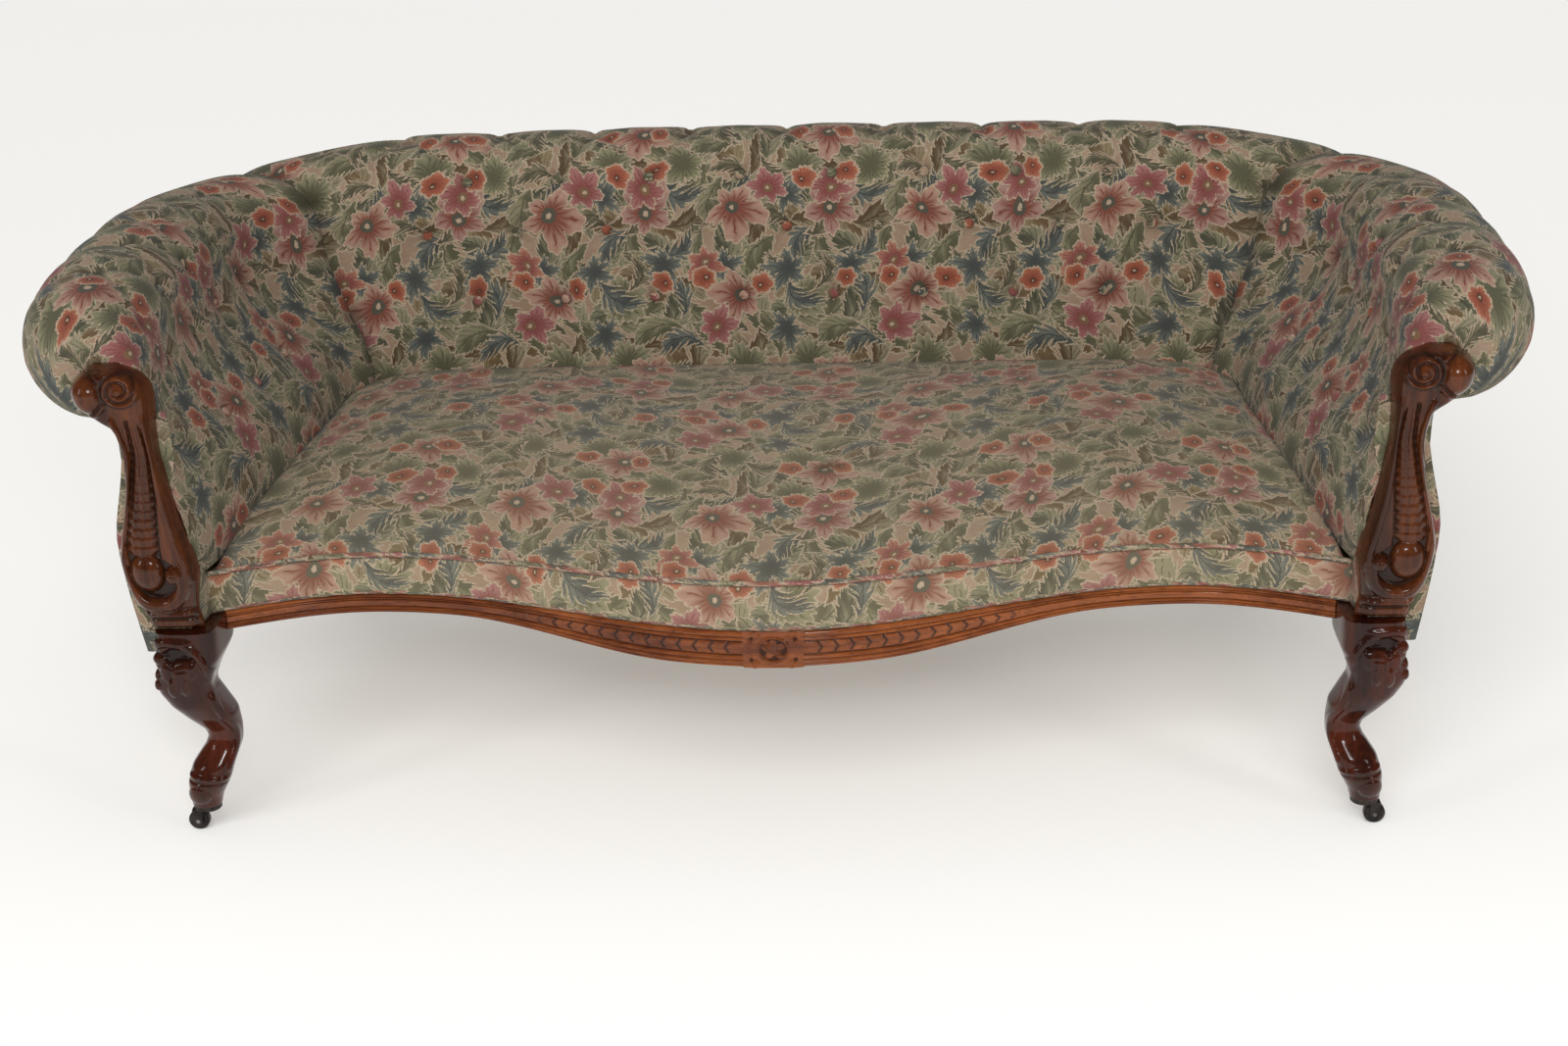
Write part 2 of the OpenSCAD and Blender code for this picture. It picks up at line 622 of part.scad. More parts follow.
module roll_board(stations, z) {
    board([for (s = stations) in_plan(s, reach(s) + top_rail_half * stretch(s))],
        [for (s = stations) in_plan(s, reach(s) - top_rail_half * stretch(s))], z, top_rail_t);
}
arm_rail_stations = concat([arm_station(stump_t + seat_gap, 0)],
    [for (s = arm_stations) if (s[0][1] > pad_front_y + stump_t + rail_t) s]);
module arm_top_rail(side) {
    color(BEECH) set_back() on_side(side) roll_board(arm_rail_stations, arm_roll_z - top_rail_t / 2);
}
module corner_top_rails() {
    stations = concat([corner_station(0, 1)], corner_rail_stations);
    color(BEECH) set_back() for (side = [-1, 1]) on_side(side) roll_board(stations, corner_top_z);
}
module back_top_rail() {
    color(BEECH) set_back() roll_board([back_station(1), back_station(-1)], back_roll_z - top_rail_t / 2);
}
module stuffing_band(stations) {
    board([for (s = stations) in_plan(s, s[5] + seat_gap + stuffing_rail_t)],
        [for (s = stations) in_plan(s, s[5] + seat_gap)], stuffing_rail_z, stuffing_rail_h);
}
module stuffing_rails() {
    arm_run_stations = concat([arm_station(stump_t + soft_gap, 0)],
        [for (s = arm_stations) if (s[0][1] > pad_front_y + stump_t + rail_t) s], arm_corner_stations);
    color(BEECH) set_back() union() {
        for (side = [-1, 1]) on_side(side) stuffing_band(arm_run_stations);
        stuffing_band(back_stations);
    }
}
module back_uprights() {
    s = back_station(0);
    inside = pad_inside(s);
    inner = max([for (i = [1 : top_row]) inside[i][0]]) + seat_gap;
    outer = cover_a(s) - cover_t - seat_gap;
    color(BEECH) set_back() difference() {
        for (share = upright_shares)
            translate([share * seat_corner_x - upright_w / 2, back_in_y + inner, frame_top_z])
            cube([upright_w, outer - inner, back_roll_z - top_rail_t / 2 - frame_top_z]);
        stuffing_band(back_stations);
    }
}

// Seat upholstery
hessian_z = frame_top_z + seat_gap;
function frame_x(y) = y < roll_corner_y
    ? arm_roll_x - arm_cover_in
    : roll_corner_x + sqrt(pow(roll_corner_r - arm_cover_in, 2) - pow(y - roll_corner_y, 2));
module seat_webbing() {
    z = frame_z - webbing_t;
    y_lap = in_plan(back_station(0), cover_inside(back_station(0)) - back_rail_t / 3)[1];
    color(JUTE) set_back() union() {
        for (i = [0 : spring_rows - 1])
            let (y = spring_y(i), x = frame_x(y + webbing_w / 2) - rail_t / 2)
            translate([-x, y - webbing_w / 2, z]) cube([2 * x, webbing_w, webbing_t]);
        for (i = [0 : spring_columns - 1])
            let (x = spring_x(i), y0 = front_y(abs(x)) + show_rail_t + front_rail_t / 2)
            translate([x - webbing_w / 2, y0, z]) cube([webbing_w, y_lap - y0, webbing_t]);
    }
}
spring_field_x = spring_field_share * sofa_w;
spring_front_y = serpentine_in_y + serpentine / 2 + show_rail_t + front_rail_t;
function spring_x(i) = spring_field_x * ((i + 0.5) / spring_columns - 0.5);
function spring_y(i) = mix(spring_front_y, back_in_y, (i + 0.5) / spring_rows);
function spring_point(t) = let (
    waist = 1 - (1 - spring_waist_share) * sin(180 * t),
    r = (spring_d - spring_wire_d) / 2 * waist)
    [r * cos(360 * spring_turns * t), r * sin(360 * spring_turns * t),
     mix(frame_z + spring_wire_d / 2, frame_top_z - spring_wire_d / 2, t)];
spring_rings = [for (i = [0 : spring_turns * spring_steps])
    let (t = i / (spring_turns * spring_steps),
        p = spring_point(t),
        out = unit([p[0], p[1], 0]))
    [for (a = [0 : 90 : 270]) p + spring_wire_d / 2 * (cos(a) * out + sin(a) * [0, 0, 1])]];
spring_pitch = (frame_top_z - frame_z - spring_wire_d) / spring_turns;
echo(str("Least gap between the turns of a spring: ", spring_pitch - spring_wire_d, " mm"));
module seat_springs() {
    color(STEEL) set_back() for (i = [0 : spring_columns - 1]) for (j = [0 : spring_rows - 1])
        translate([spring_x(i), spring_y(j), 0]) loft(spring_rings);
}
hessian_lap = 5;
module seat_hessian() {
    steps = 16;
    x_front = leg_in_x - hessian_lap;
    front = [for (i = [-steps : steps]) let (x = i / steps * x_front)
        [x, front_y(x) + show_rail_t + front_rail_t / 2]];
    side_stations = concat([behind_block(4 * hessian_lap)],
        [for (t = arm_stations) if (t[0][1] > block_y + 6 * hessian_lap) t]);
    side = [for (s = side_stations) in_plan(s, side_rail_in(s) + hessian_lap)];
    last = len(corner_rail_stations) - 1;
    corner = [for (i = [0 : last - 1]) let (s = corner_rail_stations[i])
        in_plan(s, corner_rail_in(s, i / last) + (s[11] > 0 ? -3 * hessian_lap : hessian_lap / 2))];
    right = concat([[x_front, block_y], [side[0][0], block_y]], side, corner,
        [[seat_corner_x, back_in_y + pad_t]]);
    color(JUTE) set_back() translate([0, 0, hessian_z]) linear_extrude(hessian_t)
        polygon(concat(front, right, [for (i = [len(right) - 1 : -1 : 0]) [-right[i][0], right[i][1]]]));
}

// Seat pad: a crowned top over a flat underside, between the arm pads and the back pad
seat_pad_z = hessian_z + hessian_t + seat_gap;
pad_edge_y = piping_d / 2 + seat_gap;
seat_side_gap = 2.8;
seat_pad_r = seat_corner_r - seat_side_gap;
function seat_back_y(x) = let (over = max(0, min(abs(x) - seat_corner_x, seat_pad_r)))
    seat_corner_y + sqrt(seat_pad_r * seat_pad_r - over * over);
function seat_point(u, v) = let (
    side_y = mix(front_y(arm_in_front_x) + pad_edge_y, seat_corner_y, v),
    x = u * (seat_half(side_y) - seat_side_gap))
    [x, mix(front_y(x) + pad_edge_y + soft_gap + seat_gap, seat_back_y(x), v)];
function seat_top_z(u, v) = seat_edge_z + piping_d / 2
    + seat_rise * (1 - pow(1 - v, 4)) * (1 - 0.12 * pow(abs(u), 6))
    + seat_crown * sin(180 * v) * (1 - u * u);
function seat_ring(v) = concat(
    [for (i = [seat_steps_across / 2 : -1 : -seat_steps_across / 2])
        let (u = i / (seat_steps_across / 2), w = sign(u) * (1 - pow(1 - abs(u), 1.3)), p = seat_point(w, v))
        [p[0], p[1], seat_top_z(w, v)]],
    [for (i = [-seat_steps_across / 2 : seat_steps_across / 2])
        let (u = i / (seat_steps_across / 2), w = sign(u) * (1 - pow(1 - abs(u), 1.3)), p = seat_point(w, v))
        [p[0], p[1], seat_pad_z]]);
module seat_pad() {
    color(SEAT_FABRIC) set_back() loft([for (j = [0 : seat_steps_back])
        let (t = j / seat_steps_back) seat_ring(mix(t * t, t, 0.6))], strip = true);
}

// Border between the two lines of piping
piping_steps = 36;
function border_ring(x) = let (
    y = front_y(x),
    low = rail_top_z(x) + seat_gap,
    high = seat_edge_z - piping_d / 2 - seat_gap / 2)
    [[x, y + border_t, low], [x, y + border_t, high], [x, y + pad_edge_y, high],
     [x, y + piping_d / 6, mix(low, high, 0.85)], [x, y, mix(low, high, 0.55)],
     [x, y + piping_d / 4, mix(low, high, 0.3)],
     [x, y + pad_edge_y + 2 * seat_gap, low + piping_d + seat_gap], [x, y + 2 * piping_d, low]];
module seat_border() {
    color(SEAT_FABRIC) set_back() loft([for (i = [piping_steps : -1 : -piping_steps])
        border_ring(i / piping_steps * front_end_x)]);
}
module front_piping(on_rail, y_in) {
    loft([for (i = [piping_steps : -1 : -piping_steps])
        let (x = i / piping_steps * front_end_x,
            z = on_rail ? rail_top_z(x) + 2 * seat_gap + piping_d / 2 : seat_edge_z)
        [for (a = [0 : 45 : 315])
            [x, front_y(x) + y_in + piping_d / 2 * cos(a), z + piping_d / 2 * sin(a)]]]);
}
module seat_piping() {
    color(PIPING) set_back() front_piping(false, 0);
}
module rail_piping() {
    color(PIPING) set_back() front_piping(true, piping_d / 2 - seat_gap);
}

// Arms and back
module arm_pad(side) {
    color(FABRIC) set_back() on_side(side) pad_loft(arm_all_stations);
}
module pad_loft(stations) {
    loft([for (s = stations) pad_ring(s)], strip = true);
}
module back_pad() {
    color(FABRIC) set_back() pad_loft(back_stations);
}

// A covered button: a domed face on a tapered tuft of stuffing
button_lift = 1.5;
module button() {
    r = button_d / 2;
    rotate_extrude($fn = 16) polygon([[0, 0], [r * 0.06, 0], [r * 0.2, r * 0.4], [r, r * 0.87],
        [r * 0.93, r * 1.2], [r * 0.55, r * 1.4], [0, r * 1.47]]);
}
module button_at(s, k) {
    line = pad_line(s);
    n = pad_normals(s)[k];
    p = in_space(s, line[k] + n * (tuft(s, k) + button_lift));
    d = heading(s);
    translate(p) rotate([0, acos(n[1]), atan2(d[1] * n[0], d[0] * n[0])]) button();
}
module arm_buttons() {
    color(FABRIC) set_back() for (side = [-1, 1]) on_side(side) {
        for (q = [4 : 4 : 12]) for (k = [low_row, top_row])
            button_at(arm_stations[len(front_run_shares) + q], k);
        for (q = [2 : 4 : 10]) button_at(arm_stations[len(front_run_shares) + q], mid_row);
    }
}
module back_buttons() {
    color(FABRIC) set_back() union() {
        for (q = [-14 : 4 : 14]) for (k = [low_row, top_row])
            button_at(back_station(q / quarter_pitches_back), k);
        for (q = [-16 : 4 : 16]) button_at(back_station(q / quarter_pitches_back), mid_row);
    }
}

// Outside covers: cloth on a lining, from the frame's underside up behind the roll
function cover_ring(s) = let (line = cover_line(s), wall = [(cover_t - soft_gap) * stretch(s), 0])
    concat([for (p = line) in_space(s, p)], [for (i = [3 : -1 : 0]) in_space(s, line[i] - wall)]);
module outside_arm(side) {
    color(FABRIC) set_back() on_side(side) loft([for (s = arm_all_stations) cover_ring(s)], strip = true);
}
module outside_back() {
    color(FABRIC) set_back() loft([for (s = back_stations) cover_ring(s)], strip = true);
}

// Dust cover: cloth tacked under the seat frame, cut round the legs
module dust_cover() {
    inset = 6;
    steps = 16;
    x_front = leg_in_x - inset / 3;
    front = [for (i = [-steps : steps]) let (x = i / steps * x_front) [x, front_y(x) + show_rail_t + inset]];
    side_stations = concat([behind_block(2 * inset)],
        [for (t = arm_stations) if (t[0][1] > block_y + 4 * inset) t], corner_rail_stations);
    side = [for (s = side_stations) in_plan(s, cover_inside(s) - inset)];
    right = concat([[x_front, block_y], [side[0][0], block_y]], side);
    cut = rear_leg_w / 2 + 2 * overrun;
    color(JUTE) set_back() translate([0, 0, frame_z - webbing_t - dust_cover_t - seat_gap]) difference() {
        linear_extrude(dust_cover_t)
            polygon(concat(front, right, [for (i = [len(right) - 1 : -1 : 0]) [-right[i][0], right[i][1]]]));
        // The notch for each rear leg takes the whole corner behind it
        for (side = [-1, 1]) on_side(side) translate([rear_leg_top[0] - cut, rear_leg_top[1] - cut, -overrun])
            cube([arm_roll_x, back_roll_y, dust_cover_t + 2 * overrun]);
    }
}

// Castors: a plate under the leg holds the headed pin of a yoke, and the yoke's axle holds the wheel
front_castor = [front_foot_x, 0];
rear_castor = [rear_foot_x, rear_foot_y];
plate_t = plate_lip_t + head_t + 2 * head_gap + plate_cap_t;
crown_top_z = castor_h - plate_t - seat_gap;
crown_z = crown_top_z - crown_t;
module castor_place(at, side, turn) {
    set_back() translate([side * at[0], at[1], 0]) rotate([0, 0, turn]) children();
}
module castor_plate() {
    translate([0, 0, castor_h - plate_t]) difference() {
        cylinder(d = plate_d, h = plate_t, $fn = round_fn);
        translate([0, 0, -overrun])
            cylinder(d = pin_d + 2 * running_gap, h = plate_lip_t + 2 * overrun, $fn = fine_fn);
        translate([0, 0, plate_lip_t])
            cylinder(d = head_d + 8 * running_gap, h = head_t + 2 * head_gap, $fn = fine_fn);
    }
}
module castor_yoke() {
    cheek_y = wheel_w / 2 + cheek_gap;
    difference() {
        union() {
            translate([0, 0, crown_z]) cylinder(d = crown_d, h = crown_t, $fn = round_fn);
            translate([0, -cheek_y - cheek_t, crown_z])
                cube([trail + cheek_w / 2, 2 * (cheek_y + cheek_t), crown_t]);
            translate([0, 0, crown_z]) cylinder(d = pin_d, h = castor_h - plate_t + plate_lip_t + head_gap
                - crown_z + head_t / 2, $fn = fine_fn);
            translate([0, 0, castor_h - plate_t + plate_lip_t + head_gap])
                cylinder(d = head_d, h = head_t, $fn = fine_fn);
            for (s = [-1, 1]) translate([trail, s * (cheek_y + cheek_t / 2), 0]) {
                rotate([90, 0, 0]) translate([0, wheel_d / 2, -cheek_t / 2])
                    cylinder(d = cheek_w, h = cheek_t, $fn = fine_fn);
                translate([-cheek_w / 2, -cheek_t / 2, wheel_d / 2])
                    cube([cheek_w, cheek_t, crown_top_z - wheel_d / 2]);
            }
        }
        translate([trail, -cheek_y - cheek_t - overrun, wheel_d / 2]) rotate([-90, 0, 0])
            cylinder(d = axle_d, h = 2 * (cheek_y + cheek_t + overrun), $fn = fine_fn);
    }
}
module castor_axle() {
    half_l = wheel_w / 2 + cheek_gap + cheek_t;
    translate([trail, -half_l, wheel_d / 2]) rotate([-90, 0, 0])
        cylinder(d = axle_d, h = 2 * half_l, $fn = fine_fn);
}
module castor_wheel() {
    translate([trail, 0, wheel_d / 2]) rotate([-90, 0, 0]) rotate_extrude($fn = round_fn)
        polygon([[axle_d / 2 + running_gap, -wheel_w / 2], [wheel_d / 2 - tyre_r, -wheel_w / 2],
            [wheel_d / 2, -wheel_w / 2 + tyre_r], [wheel_d / 2, wheel_w / 2 - tyre_r],
            [wheel_d / 2 - tyre_r, wheel_w / 2], [axle_d / 2 + running_gap, wheel_w / 2]]);
}

show_rail();
front_leg(-1);  // front_leg_left
front_leg(1);  // front_leg_right
arm_facing(-1);  // arm_facing_left
arm_facing(1);  // arm_facing_right
rear_leg(-1);  // rear_leg_left
rear_leg(1);  // rear_leg_right
front_seat_rail();
side_seat_rail(-1);  // side_seat_rail_left
side_seat_rail(1);  // side_seat_rail_right
rear_corner_rail(-1);  // rear_corner_rail_left
rear_corner_rail(1);  // rear_corner_rail_right
back_seat_rail();
seat_stretcher();
corner_blocks();
corner_block_screws();
arm_stump(-1);  // arm_stump_left
arm_stump(1);  // arm_stump_right
rear_post(-1);  // rear_post_left
rear_post(1);  // rear_post_right
arm_top_rail(-1);  // arm_top_rail_left
arm_top_rail(1);  // arm_top_rail_right
corner_top_rails();
back_top_rail();
back_uprights();
stuffing_rails();
seat_webbing();
seat_springs();
seat_hessian();
seat_pad();
seat_border();
seat_piping();
rail_piping();
arm_pad(-1);  // arm_pad_left
arm_pad(1);  // arm_pad_right
back_pad();
arm_buttons();
back_buttons();
outside_arm(-1);  // outside_arm_left
outside_arm(1);  // outside_arm_right
outside_back();
dust_cover();
color(DARK_IRON) castor_place(front_castor, -1, 180) castor_plate();  // castor_plate_front_left
color(DARK_IRON) castor_place(front_castor, -1, 180) castor_yoke();  // castor_yoke_front_left
color(STEEL) castor_place(front_castor, -1, 180) castor_axle();  // castor_axle_front_left
color(DARK_IRON) castor_place(front_castor, -1, 180) castor_wheel();  // castor_wheel_front_left
color(DARK_IRON) castor_place(front_castor, 1, 0) castor_plate();  // castor_plate_front_right
color(DARK_IRON) castor_place(front_castor, 1, 0) castor_yoke();  // castor_yoke_front_right
color(STEEL) castor_place(front_castor, 1, 0) castor_axle();  // castor_axle_front_right
color(DARK_IRON) castor_place(front_castor, 1, 0) castor_wheel();  // castor_wheel_front_right
color(DARK_IRON) castor_place(rear_castor, -1, 90) castor_plate();  // castor_plate_rear_left
color(DARK_IRON) castor_place(rear_castor, -1, 90) castor_yoke();  // castor_yoke_rear_left
color(STEEL) castor_place(rear_castor, -1, 90) castor_axle();  // castor_axle_rear_left
color(DARK_IRON) castor_place(rear_castor, -1, 90) castor_wheel();  // castor_wheel_rear_left
color(DARK_IRON) castor_place(rear_castor, 1, 90) castor_plate();  // castor_plate_rear_right
color(DARK_IRON) castor_place(rear_castor, 1, 90) castor_yoke();  // castor_yoke_rear_right
color(STEEL) castor_place(rear_castor, 1, 90) castor_axle();  // castor_axle_rear_right
color(DARK_IRON) castor_place(rear_castor, 1, 90) castor_wheel();  // castor_wheel_rear_right
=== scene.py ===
import math
import bmesh
import bpy
import numpy as np
from mathutils import Matrix, Vector


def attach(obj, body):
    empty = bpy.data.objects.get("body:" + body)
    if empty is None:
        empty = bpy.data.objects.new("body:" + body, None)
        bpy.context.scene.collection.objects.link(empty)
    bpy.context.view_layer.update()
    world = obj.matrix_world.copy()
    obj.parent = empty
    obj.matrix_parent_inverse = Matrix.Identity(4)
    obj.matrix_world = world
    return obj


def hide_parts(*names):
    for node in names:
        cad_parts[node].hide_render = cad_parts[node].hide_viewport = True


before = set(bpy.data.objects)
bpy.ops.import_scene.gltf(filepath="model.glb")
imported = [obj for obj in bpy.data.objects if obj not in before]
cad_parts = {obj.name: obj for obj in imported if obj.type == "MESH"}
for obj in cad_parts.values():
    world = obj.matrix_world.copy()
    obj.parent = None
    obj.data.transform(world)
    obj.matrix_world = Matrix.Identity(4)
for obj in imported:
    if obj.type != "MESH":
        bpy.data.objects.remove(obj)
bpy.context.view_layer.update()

# Camera: where the photographer stood, a little right of the middle and above the seat.
# It looks down by 22 degrees through a lens of about 55 mm.
yaw = math.radians(-3.059)
pitch = math.radians(21.8776)
bank = math.radians(-1.8143)


def placed(name, data):
    """An object of the scene that carries the given mesh, lamp or camera."""
    item = bpy.data.objects.new(name, data)
    bpy.context.scene.collection.objects.link(item)
    return item


sight = Vector((math.sin(yaw) * math.cos(pitch), math.cos(yaw) * math.cos(pitch), -math.sin(pitch)))
level = Vector((math.cos(yaw), -math.sin(yaw), 0))
rise = level.cross(sight)
right = level * math.cos(bank) + rise * math.sin(bank)
top = -level * math.sin(bank) + rise * math.cos(bank)
camera = placed("camera", bpy.data.cameras.new("camera"))
stand = Matrix.Translation((0.1581, -3.0131, 1.4682))
camera.matrix_world = stand @ Matrix((right, top, -sight)).transposed().to_4x4()
camera.data.sensor_width = 36
camera.data.lens = 55.475
camera.data.clip_end = 60
bpy.context.scene.camera = camera
bpy.context.scene.view_settings.view_transform = "Standard"

# Floor and light: a plain near-white floor that runs out of the picture, and soft studio light.
# A wide lamp hangs over the camera with a small one below it, which gives the wood its highlights.
# A weaker lamp stands on each side, and the room itself is pale, but dim in the wood's reflections.
room_light = 0.47
gloss_light = 0.08
backdrop_light = 0.42
floor_half = 14.0
floor_shape = bmesh.new()
bmesh.ops.create_grid(floor_shape, x_segments=1, y_segments=1, size=floor_half)
floor_mesh = bpy.data.meshes.new("floor")
floor_shape.to_mesh(floor_mesh)
floor_shape.free()
floor = placed("floor", floor_mesh)
floor_finish = bpy.data.materials.new("floor_finish")
floor_finish.use_nodes = True
floor_shader = floor_finish.node_tree.nodes["Principled BSDF"]
floor_shader.inputs["Base Color"].default_value = (0.93, 0.925, 0.91, 1)
floor_shader.inputs["Roughness"].default_value = 0.9
floor_shader.inputs["Specular IOR Level"].default_value = 0.0
floor_shader.inputs["Emission Color"].default_value = (1.0, 0.995, 0.98, 1)
floor_shader.inputs["Emission Strength"].default_value = 0.13
floor_mesh.materials.append(floor_finish)
world = bpy.data.worlds.new("studio")
bpy.context.scene.world = world
world.use_nodes = True
room = world.node_tree.nodes["Background"]
room.inputs["Color"].default_value = (1.0, 0.99, 0.97, 1)
path_kind = world.node_tree.nodes.new("ShaderNodeLightPath")
dim = world.node_tree.nodes.new("ShaderNodeMapRange")
dim.inputs["To Min"].default_value = room_light
dim.inputs["To Max"].default_value = gloss_light
world.node_tree.links.new(path_kind.outputs["Is Glossy Ray"], dim.inputs["Value"])
backdrop = world.node_tree.nodes.new("ShaderNodeMath")
backdrop.operation = "MULTIPLY_ADD"
backdrop.inputs[1].default_value = backdrop_light
world.node_tree.links.new(path_kind.outputs["Is Camera Ray"], backdrop.inputs[0])
world.node_tree.links.new(dim.outputs["Result"], backdrop.inputs[2])
world.node_tree.links.new(backdrop.outputs["Value"], room.inputs["Strength"])
sun = placed("soft_sun", bpy.data.lights.new("soft_sun", "SUN"))
sun.data.energy = 1.8
sun.data.angle = math.radians(50)
sun.rotation_euler = (math.radians(56), 0, math.radians(-8))
sun.visible_glossy = False
aim = Vector((0, 0, 0.4))
for place, size, power in (
    ((0.3, -3.3, 2.1), (0.9, 0.5), 18),
    ((0.25, -3.05, 1.75), (0.2, 0.2), 5),
    ((-3.0, -2.4, 1.7), (0.5, 1.2), 14),
    ((3.0, -2.4, 1.6), (0.5, 1.2), 12),
):
    lamp = placed("lamp", bpy.data.lights.new("lamp", "AREA"))
    lamp.data.shape = "RECTANGLE"
    lamp.data.size, lamp.data.size_y = size
    lamp.data.energy = power
    lamp.location = place
    lamp.rotation_euler = (aim - Vector(place)).to_track_quat("-Z", "Y").to_euler()

# Tapestry: the woven cloth of the back, arms and seat, an all-over pattern of leaves and flowers.
# The pattern is the builder's own common floral. It is drawn in metres of cloth and repeats.
class Wire:
    """A socket of a node tree that adds, multiplies and compares as a number does."""

    def __init__(self, socket):
        self.socket = socket
        self.tree = socket.id_data

    def new(self, kind, *values, out=0, **settings):
        node = self.tree.nodes.new(kind)
        for name, value in settings.items():
            setattr(node, name, value)
        for place, value in enumerate(values):
            if isinstance(value, Wire):
                self.tree.links.new(value.socket, node.inputs[place])
            elif value is not None:
                node.inputs[place].default_value = value
        return Wire(node.outputs[out])

    def math(self, operation, *values):
        return self.new("ShaderNodeMath", self, *values, operation=operation)

    def vector(self, operation, *values):
        return self.new("ShaderNodeVectorMath", self, *values, operation=operation)

    def __add__(self, other):
        return self.math("ADD", other)

    def __sub__(self, other):
        return self.math("SUBTRACT", other)

    def __mul__(self, other):
        return self.math("MULTIPLY", other)

    def __truediv__(self, other):
        return self.math("DIVIDE", other)

    def __pow__(self, other):
        return self.math("POWER", other)

    def __gt__(self, other):
        return self.math("GREATER_THAN", other)

    def __lt__(self, other):
        return self.math("LESS_THAN", other)

    def __radd__(self, other):
        return self.math("ADD", other)

    def __rmul__(self, other):
        return self.math("MULTIPLY", other)

    def __rsub__(self, other):
        return self.new("ShaderNodeMath", other, self, operation="SUBTRACT")

    def ramp(self, low, high, start=0.0, end=1.0):
        return self.new("ShaderNodeMapRange", self, low, high, start, end, interpolation_type="SMOOTHSTEP")

    def paint(self, under, over):
        return self.new("ShaderNodeMix", self, *[None] * 5, under, over, out=2, data_type="RGBA")

    def noise(self, scale, detail=2.0, roughness=0.5):
        return self.new("ShaderNodeTexNoise", self, None, scale, detail, roughness)

    def parts(self):
        node = self.new("ShaderNodeSeparateXYZ", self).socket.node
        return [Wire(socket) for socket in node.outputs]


def tone(red, green, blue):
    values = [value / 255 for value in (red, green, blue)]
    return tuple(v / 12.92 if v < 0.04045 else ((v + 0.055) / 1.055) ** 2.4 for v in values) + (1.0,)


def finish_of(name):
    material = bpy.data.materials.new(name)
    material.use_nodes = True
    tree = material.node_tree
    shader = tree.nodes["Principled BSDF"]
    return material, tree, shader


def source(tree, kind, output, **settings):
    node = tree.nodes.new(kind)
    for name, value in settings.items():
        setattr(node, name, value)
    return Wire(node.outputs[output])


def bumped(tree, shader, height, strength, distance):
    """Let a pattern of heights bend the light on a finish."""
    bump = tree.nodes.new("ShaderNodeBump")
    bump.inputs["Strength"].default_value = strength
    bump.inputs["Distance"].default_value = distance
    tree.links.new(height.socket, bump.inputs["Height"])
    tree.links.new(bump.outputs["Normal"], shader.inputs["Normal"])


repeat_wide = 0.26
repeat_tall = 0.364
stitch = 0.0011
yarn_wide = 0.0013
rim_wide = 0.0026


def scatter(cloth, columns, rows, seed, jitter, start=(0.0, 0.0)):
    """Cells over one repeat of the cloth: the place inside the cell's motif in metres, and a chance."""
    grid = cloth.vector("MULTIPLY", (columns / repeat_wide, rows / repeat_tall, 0))
    grid = grid.vector("ADD", (start[0], start[1], 0))
    cell = grid.vector("FLOOR")
    key = cell.vector("WRAP", (columns, rows, 1), (0, 0, 0)).vector("ADD", (seed, seed * 1.7, seed * 0.3))
    chance = key.new("ShaderNodeTexWhiteNoise", key, noise_dimensions="3D")
    spread = Wire(chance.socket.node.outputs["Color"])
    shift = spread.vector("SUBTRACT", (0.5, 0.5, 0.5)).vector("MULTIPLY", (jitter, jitter, 0))
    local = grid.vector("SUBTRACT", cell).vector("SUBTRACT", (0.5, 0.5, 0)).vector("SUBTRACT", shift)
    local = local.vector("MULTIPLY", (repeat_wide / columns, repeat_tall / rows, 0))
    turned = local.new(
        "ShaderNodeVectorRotate", local, (0, 0, 0), (0, 0, 1), chance * 12.5, rotation_type="Z_AXIS"
    )
    return turned, (chance * 7.3).math("FRACT")


def leaf(colour, place, long, wide, light, dark, rim, teeth, count, show, bend):
    """Paint a leaf: saw-edged, darker along one side of its midrib, veined, with a pale rim."""
    x, y, _ = place.parts()
    along = x / long
    y = y + along * along * (wide * bend) - wide * bend * 0.4
    away = y.math("ABSOLUTE")
    saw = (along * count + away / wide).math("FRACT")
    body = ((1 - along * along) * (1 - along * 0.3) * wide) * (1 - saw * teeth) - away
    side = (y / wide * 0.8 + 0.6 + (along * 7.0 + away * 260).math("SINE") * 0.22).ramp(0.1, 0.9)
    shade = side.paint(dark, light)
    vein = ((x + away * 1.5) / (long * 0.3)).math("FRACT")
    shade = ((vein < 0.15) * (away < wide * 0.62)).paint(shade, dark)
    shade = (away < stitch).paint(shade, dark)
    shade = (body < rim_wide).paint(shade, rim)
    inside = (body > 0.0) * (along.math("ABSOLUTE") < 1.0)
    if show is not None:
        inside = inside * show
    return inside.paint(colour, shade)


def bloom(colour, place, reach, petals, light, dark, rim, heart, show, depth, tip, ragged=0.05):
    """Paint a flower or a lobed leaf: ragged petals, streaked from a dark heart to a lighter edge."""
    x, y, _ = place.parts()
    radius = Wire(place.vector("LENGTH").socket.node.outputs["Value"])
    turn = y.math("ARCTAN2", x) * (petals / 6.28318) + petals
    wave = 1 - (turn.math("FRACT") * 2 - 1).math("ABSOLUTE")
    lean = (x / (radius + 0.0001)) * 0.15 + 0.85
    frill = (turn * 25.1).math("SINE") * ragged + 1
    edge = (wave ** tip * depth + (1 - depth)) * lean * frill * reach
    body = edge - radius
    streak = (wave * 8.0 + radius * 70).math("SINE") * 0.14
    shade = (radius / edge + streak).ramp(0.25, 0.95).paint(dark, light)
    shade = (wave < 0.13).paint(shade, dark)
    shade = ((wave > 0.94) * (radius < edge * 0.75)).paint(shade, dark)
    shade = (body < rim_wide).paint(shade, rim)
    if heart:
        shade = (radius < reach * 0.19).paint(shade, heart)
        shade = (radius < reach * 0.07).paint(shade, rim)
    return ((body > 0.0) * show).paint(colour, shade)


